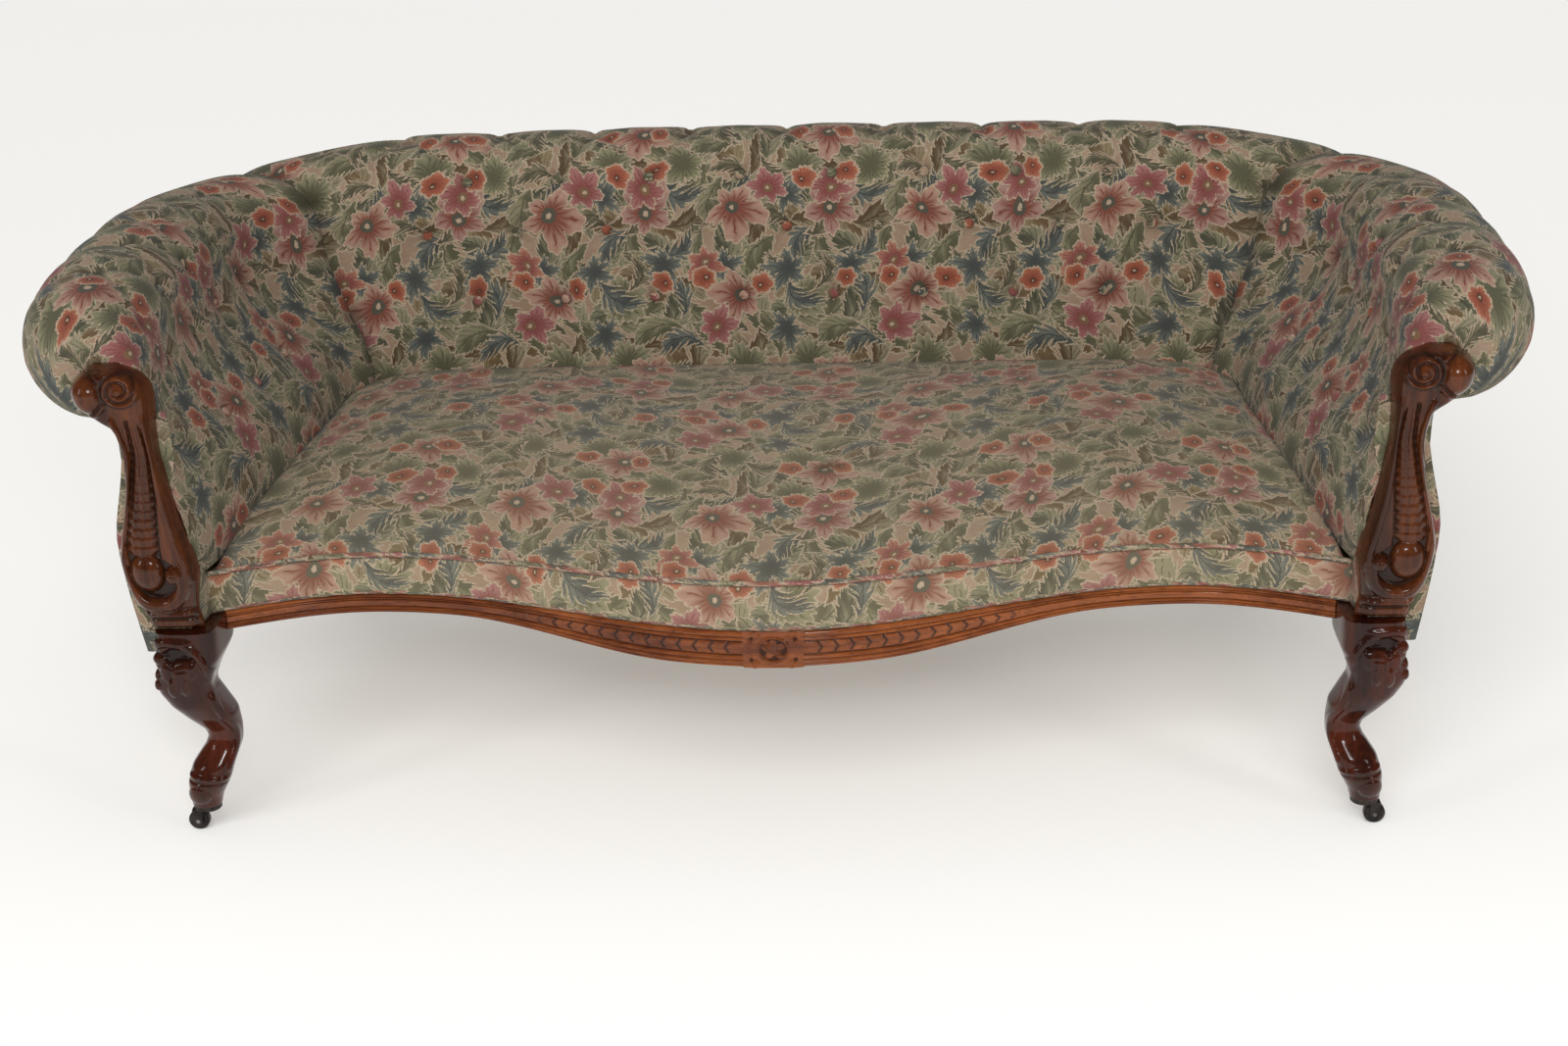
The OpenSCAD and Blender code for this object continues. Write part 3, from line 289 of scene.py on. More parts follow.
def tapestry(name, worn, yellow, light, marks=()):
    """The floral cloth: worn fades it, yellow tints it, light scales its brightness, marks stain it, and the
    fold attribute paints shade into it.
    """
    material, tree, shader = finish_of(name)
    flat = source(tree, "ShaderNodeUVMap", 0, uv_map="cloth")
    cloth = flat
    for scale, wander in ((9.0, 0.040), (60.0, 0.007)):
        noise = flat.new("ShaderNodeTexNoise", flat, None, scale, 1.0).socket.node
        shift = Wire(noise.outputs["Color"]).vector("SUBTRACT", (0.5, 0.5, 0.5))
        cloth = cloth.vector("ADD", shift.vector("MULTIPLY", (wander, wander, 0.0)))
    cloth = cloth.vector("SNAP", (stitch, stitch, 1.0))
    ground = flat.noise(14.0, 3.0, 0.6).ramp(0.3, 0.7).paint(tone(172, 142, 118), tone(192, 164, 140))
    cream = tone(214, 188, 162)
    pale = tone(206, 188, 160)
    sage = (tone(158, 154, 122), tone(98, 98, 76))
    olive = (tone(156, 134, 102), tone(118, 94, 66))
    moss = (tone(138, 140, 112), tone(78, 82, 68))
    umber = (tone(140, 118, 88), tone(98, 76, 54))
    slate = (tone(122, 128, 120), tone(72, 80, 82))
    reed = (tone(140, 132, 106), tone(84, 82, 68))
    colour = ground
    for seed, start, long, wide, greens, teeth, count, bend in (
        (3.0, (0.0, 0.0), 0.0390, 0.0260, sage, 0.20, 4.0, 0.5),
        (5.0, (0.5, 0.5), 0.0380, 0.0230, olive, 0.15, 3.0, 0.6),
        (9.0, (0.5, 0.0), 0.0390, 0.0225, moss, 0.28, 4.0, 0.8),
        (13.0, (0.0, 0.5), 0.0380, 0.0200, umber, 0.20, 3.0, 0.6),
        (19.0, (0.75, 0.25), 0.0370, 0.0215, sage, 0.25, 4.0, 0.7),
    ):
        place, chance = scatter(cloth, 3, 4, seed, 0.12, start)
        light_green = chance.paint(greens[0], tone(164, 156, 128))
        colour = leaf(colour, place, long, wide, light_green, greens[1], pale, teeth, count, None, bend)
    place, chance = scatter(cloth, 3, 4, 15.0, 0.12, (0.25, 0.75))
    colour = bloom(colour, place, 0.040, 5.0, *sage, pale, None, chance > 0.6, 0.34, 0.6, 0.09)
    place, chance = scatter(cloth, 3, 5, 21.0, 0.12, (0.3, 0.7))
    colour = leaf(colour, place, 0.0380, 0.0200, *slate, pale, 0.62, 3.0, chance > 0.32, 1.3)
    place, chance = scatter(cloth, 4, 5, 23.0, 0.14, (0.8, 0.3))
    colour = leaf(colour, place, 0.0320, 0.0160, *reed, cream, 0.5, 3.0, chance > 0.56, 1.2)
    place, chance = scatter(cloth, 3, 4, 17.0, 0.12, (0.5, 0.2))
    colour = bloom(colour, place, 0.037, 5.0, *slate, pale, None, chance > 0.50, 0.55, 0.8, 0.12)
    place, chance = scatter(cloth, 2, 3, 27.0, 0.16, (0.0, 0.6))
    petal = chance.ramp(0.3, 1.0).paint(tone(206, 164, 140), tone(188, 146, 140))
    lily = (petal, tone(142, 74, 64), cream, tone(92, 90, 80))
    colour = bloom(colour, place, 0.050, 5.0, *lily, chance > 0.44, 0.56, 0.6)
    place, chance = scatter(cloth, 3, 4, 31.0, 0.14, (0.8, 0.1))
    petal = chance.ramp(0.72, 1.0).paint(tone(202, 136, 106), tone(182, 122, 126))
    rose = (petal, tone(148, 74, 76), cream, tone(140, 104, 78))
    colour = bloom(colour, place, 0.037, 6.0, *rose, chance > 0.75, 0.45, 0.7)
    place, chance = scatter(cloth, 4, 5, 33.0, 0.2, (0.2, 0.4))
    daisy = (tone(200, 122, 94), tone(158, 76, 60), cream, tone(104, 58, 46))
    colour = bloom(colour, place, 0.0215, 6.0, *daisy, chance > 0.84, 0.24, 0.5)
    streaks = flat.vector("MULTIPLY", (90.0, 900.0, 0.0)).noise(1.0, 2.0, 0.6).ramp(0.32, 0.68, 0.0, 0.22)
    colour = streaks.paint(colour, tone(70, 60, 46))
    age = flat.noise(3.4, 4.0, 0.6).ramp(0.34, 0.72, worn * 0.6, min(1.0, worn * 1.4))
    colour = age.paint(colour, ground)
    tea = tone(166, 156, 120)
    colour = age.new("ShaderNodeMix", yellow, *[None] * 5, colour, tea, out=2, data_type="RGBA")
    for across, along, size, stain, strength in marks:
        away = flat.vector("SUBTRACT", (across, along, 0.0)).vector("LENGTH").socket.node
        ragged = flat.noise(70.0, 4.0, 0.7) * (size * 1.6) + Wire(away.outputs["Value"])
        colour = ragged.ramp(size * 0.9, size * 1.6, strength, 0.0).paint(colour, stain)
    # Painted shade: the colour darkens to deep brown by the fold attribute, in the pleats, button pits and
    # corner creases and wherever the pieces meet.
    fold = source(tree, "ShaderNodeAttribute", 2, attribute_name="fold")
    colour = fold.ramp(0.0, 1.0, 0.0, 0.62).paint(colour, tone(52, 43, 33))
    colour = colour.new("ShaderNodeVectorMath", colour, None, None, light, operation="SCALE")
    tree.links.new(colour.socket, shader.inputs["Base Color"])
    x, y, _ = flat.vector("SCALE", None, None, 3.14159 / yarn_wide).parts()
    yarn = x.math("SINE").math("ABSOLUTE") * 0.5 + y.math("SINE").math("ABSOLUTE") * 0.5
    slub = flat.vector("MULTIPLY", (160.0, 500.0, 0.0)).noise(1.0, 2.0)
    bumped(tree, shader, yarn + slub * 1.2, 0.45, 0.0006)
    shader.inputs["Roughness"].default_value = 0.88
    shader.inputs["Specular IOR Level"].default_value = 0.12
    shader.inputs["Sheen Weight"].default_value = 0.08
    shader.inputs["Sheen Roughness"].default_value = 0.5
    return material


# The back and arms get a darker copy than the seat and piping: partly painted shade on the back and arms,
# partly the seat's fading.
back_cloth = tapestry("back_cloth", 0.02, 0.05, 0.53)
seat_marks = (
    (0.064, 0.232, 0.032, tone(88, 70, 46), 0.62),
    (0.130, 0.255, 0.018, tone(96, 78, 52), 0.45),
    (0.363, 0.440, 0.015, tone(226, 180, 156), 0.75),
    (0.330, 0.425, 0.010, tone(222, 172, 150), 0.7),
)
seat_cloth = tapestry("seat_cloth", 0.08, 0.16, 0.63, seat_marks)
piping_cloth = tapestry("piping_cloth", 0.1, 0.06, 0.62)

# Arm pads: stuffed scroll arms that run on round the rear corners, buttoned into shallow diamonds.
# Horsehair stuffing under the tapestry, held down by pleats and covered buttons.
feet_y = 0.366
arm_run = 0.5187
pad_front = -0.0097
seat_side_x = 0.620
seat_front_x = 0.690
corner_seat_x = 0.504
corner_seat_y = 0.509
corner_roll_x = 0.540
corner_roll_y = 0.433
arm_roll_x = 0.820
back_seat_y = 0.625
back_roll_y = 0.713
corner_seat_radius = 0.116
corner_roll_radius = 0.280
roll_radius = 0.080
arm_roll_z = 0.620
back_roll_z = 0.630
back_middle_z = 0.636
arm_tuck = 0.056
back_tuck = 0.013
pad_foot_z = 0.345
pad_heel_z = 0.368
pad_lean_z = 0.390
front_draw = 0.070
arm_diamonds = 7
back_diamonds = 8
tuft_start_share = 0.15
tuft_pitch = 0.063
tuft_shares = (0.435, 0.833)
tuft_angles = (155, 95)
tuft_rise = 0.0042
groove_wide = 0.0055
groove_deep = 0.0040
pit_wide = 0.013
pit_deep = 0.0075
corner_deep = 0.008
uneven = 0.0014


def mix(low, high, share):
    return low + (high - low) * share


def smooth(value):
    value = np.clip(value, 0, 1)
    return value * value * (3 - 2 * value)


def seat_half(y):
    return mix(seat_side_x, seat_front_x, np.maximum(0, 1 - y / corner_seat_y) ** 1.6)


def arm_stations(run):
    """The lines of one arm at distances run from its front: seat line, roll line, roll and tufts."""
    share = np.clip(run / arm_run, 0, 1)
    draw = np.exp(-run / front_draw)
    y = pad_front + run
    roll_x = arm_roll_x - 0.041 * draw
    return {
        "seat": np.stack([seat_half(y), y], -1),
        "roll": np.stack([roll_x, mix(pad_front, corner_roll_y, share)], -1),
        "normal": np.stack([np.ones_like(run), np.zeros_like(run)], -1),
        "radius": roll_radius * (1 - 0.375 * np.exp(-run / 0.045)),
        "middle": arm_roll_z - 0.020 * draw,
        "tuck": arm_tuck - 0.042 * draw,
        "flare": draw,
        "strength": 1 - np.exp(-run / 0.060),
        "tuft": arm_diamonds * (run - tuft_start_share * arm_run) / ((1 - tuft_start_share) * arm_run),
        "crease": np.zeros_like(run),
    }


def corner_stations(angle):
    """The lines round the right rear corner, from the arm at 0 to the back at 90 degrees."""
    share = smooth(angle / 90)
    turn = np.radians(angle)
    out = np.stack([np.cos(turn), np.sin(turn)], -1)
    return {
        "seat": np.array([corner_seat_x, corner_seat_y]) + corner_seat_radius * out,
        "roll": np.array([corner_roll_x, corner_roll_y]) + corner_roll_radius * out,
        "normal": out,
        "radius": np.full_like(angle, roll_radius),
        "middle": mix(arm_roll_z, back_roll_z, share) - 0.016 * np.sin(2 * turn),
        "tuck": mix(arm_tuck, back_tuck, share),
        "flare": np.zeros_like(angle),
        "strength": 1 - 0.5 * smooth(1 - np.abs(angle - 45) / 45),
        "tuft": arm_diamonds + 1 - np.abs(angle - 45) / 45,
        "crease": np.exp(-((angle - 45) / 5.0) ** 2),
    }


def back_stations(share):
    """The lines of the back, from its left end at -1 to its right end at 1."""
    still = np.ones_like(share)
    return {
        "seat": np.stack([share * corner_seat_x, back_seat_y * still], -1),
        "roll": np.stack([share * corner_roll_x, back_roll_y * still], -1),
        "normal": np.stack([0 * still, still], -1),
        "radius": roll_radius * still,
        "middle": back_middle_z - (back_middle_z - back_roll_z) * share * share,
        "tuck": back_tuck * still,
        "flare": 0 * still,
        "strength": still,
        "tuft": back_diamonds * share - 1,
        "crease": 0 * still,
    }


def joined(*groups):
    return {key: np.concatenate([group[key] for group in groups]) for key in groups[0]}


def mirrored(group):
    """The same stations on the other side, with the lattice of the tufts numbered on."""
    group = {key: value[::-1].copy() for key, value in group.items()}
    for key in ("seat", "roll", "normal"):
        group[key][:, 0] *= -1
    group["tuft"] = -2 - group["tuft"]
    return group


def spread(lines):
    """How far and which way the roll line lies from the seat line, and how far that way slants."""
    reach = np.linalg.norm(lines["roll"] - lines["seat"], axis=1)
    heading = (lines["roll"] - lines["seat"]) / reach[:, None]
    return reach, heading, 1 / (heading * lines["normal"]).sum(1)


def over_lines(lines, heading, away, height):
    """Places in the sofa's own space, so far away from the seat line and so high."""
    x = lines["seat"][:, 0] + heading[:, 0] * away
    y = lines["seat"][:, 1] + heading[:, 1] * away - feet_y
    return np.stack([x, y, height + 0 * x], -1)


def pad_surface(lines, lean_rows, roll_rows):
    """The upholstered face over the stations: rows go up the inside, over the roll and under it."""
    reach, heading, slant = spread(lines)
    radius = lines["radius"] * slant
    inner = reach - radius
    last = -np.degrees(np.arccos(-np.clip(lines["tuck"] / lines["radius"], 0, 0.999)))
    away = [0 * reach, 0 * reach]
    height = [0 * reach + pad_foot_z, 0 * reach + pad_heel_z]
    for w in np.linspace(0, 1, lean_rows):
        away.append(inner * (w - 0.6 * math.sin(2 * math.pi * w) / (2 * math.pi)))
        height.append(mix(pad_lean_z, lines["middle"], w))
    for share in np.linspace(0, 1, roll_rows)[1:]:
        angle = np.radians(mix(180, last, share))
        away.append(reach + radius * np.cos(angle))
        height.append(lines["middle"] + lines["radius"] * np.sin(angle))
    place = over_lines(lines, heading, np.array(away), np.array(height))
    knots = [2 + share * (lean_rows - 1) for share in tuft_shares]
    tops = [(180 - angle) / (180 - last) for angle in tuft_angles]
    tops = [1 + lean_rows + share * (roll_rows - 1) for share in tops]
    return place, knots, tops


def lengths(place, axis):
    """Cloth lengths along an axis of the grid, from its first line."""
    step = np.linalg.norm(np.diff(place, axis=axis), axis=2)
    shape = list(step.shape)
    shape[axis] = 1
    return np.concatenate([np.zeros(shape), np.cumsum(step, axis=axis)], axis=axis)


def outward(place):
    """Unit normals of a grid, by the differences of its neighbours."""
    across = np.gradient(place, axis=1)
    up = np.gradient(place, axis=0)
    normal = np.cross(across, up)
    return normal / np.maximum(np.linalg.norm(normal, axis=2, keepdims=True), 1e-9)


def ripple(a, b, seed):
    """Slow, fixed unevenness between -1 and 1, as hand stuffing leaves."""
    total = 0
    for turn in range(1, 6):
        total = total + np.sin(a * turn * 1.7 + seed * turn + 2.1 * np.sin(b * turn * 1.3 + seed)) / turn
        total = total + np.sin(b * turn * 1.9 - seed * turn + 1.7 * np.sin(a * turn * 1.1 - seed)) / turn
    return total / 4.5


def from_line(value):
    """How far each value is from the nearest whole number."""
    return np.abs(value - np.rint(value))


def cut(distance):
    """A pleat's depth, from 1 in its bottom to 0 a few millimetres away."""
    return np.exp(-((distance / groove_wide) ** 1.3))


def tufted(place, lines, knots, tops):
    """Heights of the tufting over the surface, and how deep in a fold each point is, which the cloth's finish
    paints as shade.
    """
    run = lengths(place, 0)
    rows, columns = run.shape
    level = np.empty_like(run)
    order = np.arange(rows)
    for column in range(columns):
        knots_here = (*knots, tops[0][column], tops[1][column])
        marks = [np.interp(knot, order, run[:, column]) for knot in knots_here]
        low = marks[0] - (marks[1] - marks[0]) * 2
        high = marks[3] + (marks[3] - marks[2]) * 4
        level[:, column] = np.interp(run[:, column], [low, *marks, high], [-2, 0, 1, 2, 3, 7])
    tuft = lines["tuft"][None, :] + 0 * level
    strength = lines["strength"][None, :]
    first = (tuft + level) / 2
    second = (tuft - level) / 2
    near_first = from_line(first) * 2 * tuft_pitch * 0.83
    near_second = from_line(second) * 2 * tuft_pitch * 0.83
    crown = (np.abs(np.sin(np.pi * first)) * np.abs(np.sin(np.pi * second))) ** 0.55
    groove = cut(near_first) + cut(near_second)
    even = from_line(tuft / 2) * 2 * tuft_pitch
    odd = from_line((tuft - 1) / 2) * 2 * tuft_pitch
    crown_low = np.abs(np.sin(np.pi * tuft / 2)) ** 0.55
    crown_high = np.abs(np.cos(np.pi * tuft / 2)) ** 0.55
    below = smooth(-level / 0.35)
    above = smooth((level - 3) / 0.35)
    crown = mix(mix(crown, crown_low, below), crown_high, above)
    groove = mix(groove, cut(even), below)
    groove = mix(groove, cut(odd), above)
    groove = np.clip(groove, 0, 1.1)
    fade = smooth((level + 2.0) / 1.2) * (1 - 0.75 * smooth((level - 4.2) / 1.5))
    pit = 0 * level
    for row in (0, 1, 2, 3):
        side = tuft if row % 2 == 0 else tuft - 1
        across = from_line(side / 2) * 2 * tuft_pitch
        along = np.abs(level - row) * tuft_pitch * 1.45
        far = np.hypot(across, along)
        pit = pit + (1.0 if row < 3 else 0.25) * np.exp(-((far / pit_wide) ** 1.4))
    upper = mix(0.38, 1.0, smooth((level - 1.6) / 1.0))
    height = tuft_rise * upper * crown - groove_deep * upper * groove - pit_deep * pit
    height = strength * fade * height
    crease = lines["crease"][None, :]
    height = height - corner_deep * crease * fade
    # The fold value is painted shade, strongest in the pleats, the button pits and the rear corners' crease.
    fold = np.clip(strength * fade * (0.42 * upper * groove + 0.5 * pit) + 0.6 * crease, 0, 1)
    height = height + uneven * ripple(tuft * 1.3, level * 1.7, 1.9) * smooth((level + 2) / 1.5)
    return height, fold


def thicken(piece, thick):
    """Give a sheet its thickness, inwards from its face."""
    shell = piece.modifiers.new("thickness", "SOLIDIFY")
    shell.thickness = thick
    shell.offset = -1


def cloth_grid(name, place, across, along, fold, material, thick=0.005):
    """A cloth over a grid of places, with its cloth lengths in the map that the pattern reads."""
    rows, columns = place.shape[:2]
    grid = bmesh.new()
    bmesh.ops.create_grid(grid, x_segments=columns - 1, y_segments=rows - 1, size=0.5)
    mesh = bpy.data.meshes.new(name)
    grid.to_mesh(mesh)
    grid.free()
    flat = np.empty(len(mesh.vertices) * 3, "f")
    mesh.vertices.foreach_get("co", flat)
    column = np.rint((flat[0::3] + 0.5) * (columns - 1)).astype(int)
    row = np.rint((flat[1::3] + 0.5) * (rows - 1)).astype(int)
    mesh.vertices.foreach_set("co", place[row, column].astype("f").ravel())
    corner = np.empty(len(mesh.loops), "i")
    mesh.loops.foreach_get("vertex_index", corner)
    layer = mesh.uv_layers.new(name="cloth")
    map_places = np.stack([across[row, column], along[row, column]], -1)[corner]
    layer.data.foreach_set("uv", map_places.astype("f").ravel())
    depth = mesh.attributes.new("fold", "FLOAT", "POINT")
    depth.data.foreach_set("value", fold[row, column].astype("f"))
    mesh.polygons.foreach_set("use_smooth", np.ones(len(mesh.polygons), bool))
    mesh.materials.append(material)
    mesh.update()
    piece = placed(name, mesh)
    if thick:
        thicken(piece, thick)
    return piece


def pad_piece(lines, lean_rows, roll_rows, middle_column, facing):
    """A tufted surface with its cloth lengths from the middle column. facing turns it outwards."""
    place, knots, tops = pad_surface(lines, lean_rows, roll_rows)
    height, fold = tufted(place, lines, knots, tops)
    across = lengths(place, 1)
    across = across - across[:, middle_column : middle_column + 1]
    along = lengths(place, 0)
    along = along - along[2 + lean_rows // 2][None, :]
    place = place + facing * outward(place) * height[..., None]
    return place, across, along, fold


arm_lean_rows = 62
arm_roll_rows = 92
arm_middle = 60
runs = np.concatenate([[0.0, 0.003, 0.006, 0.010, 0.015], np.arange(0.020, arm_run, 0.0052), [arm_run]])
angles = np.linspace(0, 45, 42)[1:]
arm_lines = joined(arm_stations(runs), corner_stations(angles))
place, across, along, fold = pad_piece(arm_lines, arm_lean_rows, arm_roll_rows, arm_middle, -1)
cap_shares = np.array([0.12, 0.35, 0.55, 0.72, 0.85, 0.94, 0.985])
rim = arm_stations(np.zeros(len(cap_shares)))
rim["radius"] = rim["radius"] * cap_shares
rim["tuck"] = rim["tuck"] * cap_shares
cap, _, _ = pad_surface(rim, arm_lean_rows, arm_roll_rows)
bulge = -0.004 * np.sqrt(1 - cap_shares**2)
cap[..., 1] += bulge[None, :]
place = np.concatenate([cap, place], axis=1)
cap_step = np.cumsum(np.array([0.0008, 0.0022, 0.0045, 0.0065, 0.0085, 0.010, 0.0115]))
across = np.concatenate([across[:, :1] - cap_step[::-1][None, :], across], axis=1)
along = np.concatenate([along[:, :1] + 0 * cap[..., 0], along], axis=1)
fold = np.concatenate([np.zeros(cap.shape[:2]), fold], axis=1)
for side, sign in (("right", 1), ("left", -1)):
    shape = place.copy()
    shape[..., 0] *= sign
    grids = (shape, across, along, fold)
    if sign > 0:
        grids = tuple(item[:, ::-1] for item in grids)
    pad = cloth_grid(f"arm_cloth_{side}", *grids, back_cloth)
    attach(pad, "sofa")
    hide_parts(f"arm_pad_{side}")

# Back pad: the stuffed back with its scroll roll, buttoned in three rows like the arms.
# It meets the arm pads in a pleat down each rear corner.
back_lean_rows = 50
back_roll_rows = 88
shares = np.linspace(-1, 1, 213)
turns = np.linspace(45, 90, 42)[:-1]
right_corner = {key: value[::-1] for key, value in corner_stations(turns).items()}
left_corner = mirrored(right_corner)
back_lines = joined(left_corner, back_stations(shares), right_corner)
back_middle = len(turns) + len(shares) // 2
place, across, along, fold = pad_piece(back_lines, back_lean_rows, back_roll_rows, back_middle, 1)
back_pad = cloth_grid("back_cloth", place, across, along, fold, back_cloth)
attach(back_pad, "sofa")
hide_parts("back_pad")

# Buttons: flat domes covered in the same cloth, pulled down into the pads with twine.
# They stand where the pleats cross, nine on each arm and twenty-five along the back.
button_radius = 0.0070
button_sink = 0.0052


def button_places(lines, rows_wanted, facing):
    """Places and normals of the buttons over stations whose lattice numbers are given."""
    surface, knots, tops = pad_surface(lines, arm_lean_rows, arm_roll_rows)
    normal = facing * outward(surface)
    order = np.arange(surface.shape[0])
    found = []
    for column, row in rows_wanted:
        at = [knots[0], knots[1], tops[0][column]][row]
        spot = [np.interp(at, order, surface[:, column, axis]) for axis in range(3)]
        face = [np.interp(at, order, normal[:, column, axis]) for axis in range(3)]
        found.append((Vector(spot), Vector(face).normalized()))
    return found


def add_buttons(name, spots, node):
    mesh = bpy.data.meshes.new(name)
    group = bmesh.new()
    for spot, face in spots:
        made = bmesh.ops.create_uvsphere(group, u_segments=20, v_segments=10, radius=button_radius)
        turn = Vector((0, 0, 1)).rotation_difference(face).to_matrix().to_4x4()
        squash = Matrix.Diagonal((1, 1, 0.55, 1))
        move = Matrix.Translation(spot - face * button_sink)
        bmesh.ops.transform(group, matrix=move @ turn @ squash, verts=made["verts"])
    layer = group.loops.layers.uv.new("cloth")
    for face in group.faces:
        for loop in face.loops:
            loop[layer].uv = (loop.vert.co.x + loop.vert.co.y, loop.vert.co.z)
        face.smooth = True
    group.to_mesh(mesh)
    group.free()
    mesh.materials.append(back_cloth)
    piece = placed(name, mesh)
    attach(piece, "sofa")
    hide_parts(node)


tuft_start = tuft_start_share * arm_run
tuft_runs = np.array([mix(tuft_start, arm_run, count / arm_diamonds) for count in range(1, arm_diamonds)])
wanted = [(0, 1), (1, 0), (1, 2), (2, 1), (3, 0), (3, 2), (4, 1), (5, 0), (5, 2)]
arm_spots = button_places(arm_stations(tuft_runs), wanted, -1)
flip = Vector((-1, 1, 1))
arm_spots = arm_spots + [(spot * flip, face * flip) for spot, face in arm_spots]
add_buttons("arm_button_cloth", arm_spots, "arm_buttons")
back_shares = np.linspace(-1, 1, 2 * back_diamonds + 1)
wanted = [(column, 1) for column in range(0, 17, 2)]
wanted += [(column, row) for column in range(1, 17, 2) for row in (0, 2)]
add_buttons("back_button_cloth", button_places(back_stations(back_shares), wanted, 1), "back_buttons")

# Seat: one sprung and stuffed seat that fills the space between the arms, highest towards the back.
# Horsehair over springs, faded by light and use, flat where it rests on the hessian.
wave_half = 0.5
seat_edge_z = 0.33825
seat_foot_z = 0.3320
seat_corner_radius = 0.1132
seat_side_gap = 0.0028
seat_front_gap = 0.00435
seat_rise = 0.060
seat_crown = 0.015


def front_line(x):
    """The serpentine front: forward in the middle, back towards the sides, and forward to the legs."""
    wave = 0.030 - 0.052 * np.cos(np.pi * np.clip(x, -wave_half, wave_half) / wave_half)
    over = np.clip((np.abs(x) - wave_half) / (seat_front_x - wave_half), 0, 1)
    return np.where(np.abs(x) <= wave_half, wave, 0.082 - 0.055 * (1 - np.cos(over * np.pi / 2)))


def rail_top(x):
    return 0.2725 + 0.009 * smooth(np.abs(x) / wave_half)


def rail_height(x):
    return mix(0.048, 0.025, smooth((np.abs(x) / wave_half - 0.24) / 0.56))


columns = 251
rows = 121
u = np.linspace(-1, 1, columns)[None, :]
v = (1 - (1 - np.linspace(0, 1, rows)) ** 1.25)[:, None]
front_side = front_line(np.array(seat_front_x)) + 0.00355
side_y = mix(front_side, corner_seat_y, v)
x = u * (seat_half(side_y) - seat_side_gap)
over = np.clip(np.abs(x) - corner_seat_x, 0, seat_corner_radius)
y = mix(front_line(x) + seat_front_gap, corner_seat_y + np.sqrt(seat_corner_radius**2 - over**2), v)
lift = seat_rise * (1 - (1 - v) ** 4) * (1 - 0.12 * np.abs(u) ** 6)
lift = lift + seat_crown * np.sin(np.pi * v) * (1 - u**2)
z = seat_edge_z + lift
z = z + 0.0026 * ripple(x * 6.0, y * 8.0, 4.2) * np.sin(np.pi * v) ** 0.5
dents = [(0.28, 0.20, 0.16, 0.005), (-0.26, 0.23, 0.15, 0.004), (0.02, 0.24, 0.13, 0.004)]
for dent_x, dent_y, wide, deep in dents:
    z = z - deep * np.exp(-((x - dent_x) ** 2 + (y - dent_y) ** 2) / wide**2)
pulls = 0.0009 * np.cos(x * 2 * np.pi / 0.034 + 1.3 * np.sin(x * 11)) * np.exp(-(y - front_line(x)) / 0.028)
z = z + pulls
place = np.stack([x, y - feet_y, z], -1)
# Painted shade: the seat darkens along its sides beside the arms and along its back edge below the back.
seat_side_shade = 0.55 * np.exp(-((1 - np.abs(u)) * 60)) * np.ones_like(v)
fold = seat_side_shade + 0.6 * np.exp(-((1 - v) * 40)) * np.ones_like(u)
along = lengths(place, 0)
across = lengths(place, 1)
across = across - across[:, columns // 2 : columns // 2 + 1]
seat = cloth_grid("seat_cloth", place, across, along, np.clip(fold, 0, 1), seat_cloth, 0)
body = bmesh.new()
body.from_mesh(seat.data)
edges = [edge for edge in body.edges if edge.is_boundary]
skirt = bmesh.ops.extrude_edge_only(body, edges=edges)
for item in skirt["geom"]:
    if isinstance(item, bmesh.types.BMVert):
        item.co.z = seat_foot_z
bmesh.ops.contextual_create(body, geom=[edge for edge in body.edges if edge.is_boundary])
bmesh.ops.recalc_face_normals(body, faces=body.faces)
body.to_mesh(seat.data)
body.free()
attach(seat, "sofa")
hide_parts("seat_pad")

# Seat border: the upright band of the same cloth between the seat's edge and the show rail.
# It is stuffed slightly proud and tacked along the rail, so it bellies and puckers a little.
# At each end it turns the corner and runs back beside the facing.
border_top_z = 0.3316
border_columns = 401
xs = np.linspace(-seat_front_x, seat_front_x, border_columns)[None, :]
share = np.linspace(0, 1, 15)[:, None]
low = rail_top(xs) + 0.0004
z = mix(low, border_top_z, share)
belly = 0.0030 * np.sin(np.pi * share) ** 0.6
tacked = np.exp(-share * 5) + np.exp(-(1 - share) * 5)
pucker = 0.0006 * np.cos(xs * 2 * np.pi / 0.027 + 1.7 * np.sin(xs * 9)) * tacked
y = front_line(xs) + 0.0012 - belly + pucker + 0 * z
place = np.stack([xs + 0 * z, y - feet_y, z], -1)
corner_x = np.array([0.6912, 0.6926, 0.6936, 0.6942])
corner_y = np.array([0.0200, 0.0100, 0.0000, -0.0093])
corner_z = mix(low[:, -1:], 0.350, share)
corner = np.stack(np.broadcast_arrays(corner_x, corner_y - feet_y, corner_z), -1)
place = np.concatenate([corner[:, ::-1] * [-1, 1, 1], place, corner], axis=1)
across = lengths(place, 1)
middle = len(corner_x) + border_columns // 2
across = across - across[:, middle : middle + 1]
along = place[..., 2] - border_top_z
# Painted shade: the band darkens near its foot above the rail piping and in the creases where it turns each
# corner.
crease = np.exp(-(np.abs(np.abs(place[..., 0]) - seat_front_x) / 0.003))
border_shade = np.clip(0.3 * np.exp(-share * 9) + 0.55 * crease, 0, 1)
border = cloth_grid("seat_border_cloth", place, across, along, border_shade, seat_cloth, 0.012)
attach(border, "sofa")
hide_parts("seat_border")

# Piping: cord covered in strips of the tapestry, one along the seat's edge and one above the rail.
# The seam's flat allowance is caught under the band, so only the round shows.
cord_radius = 0.00325


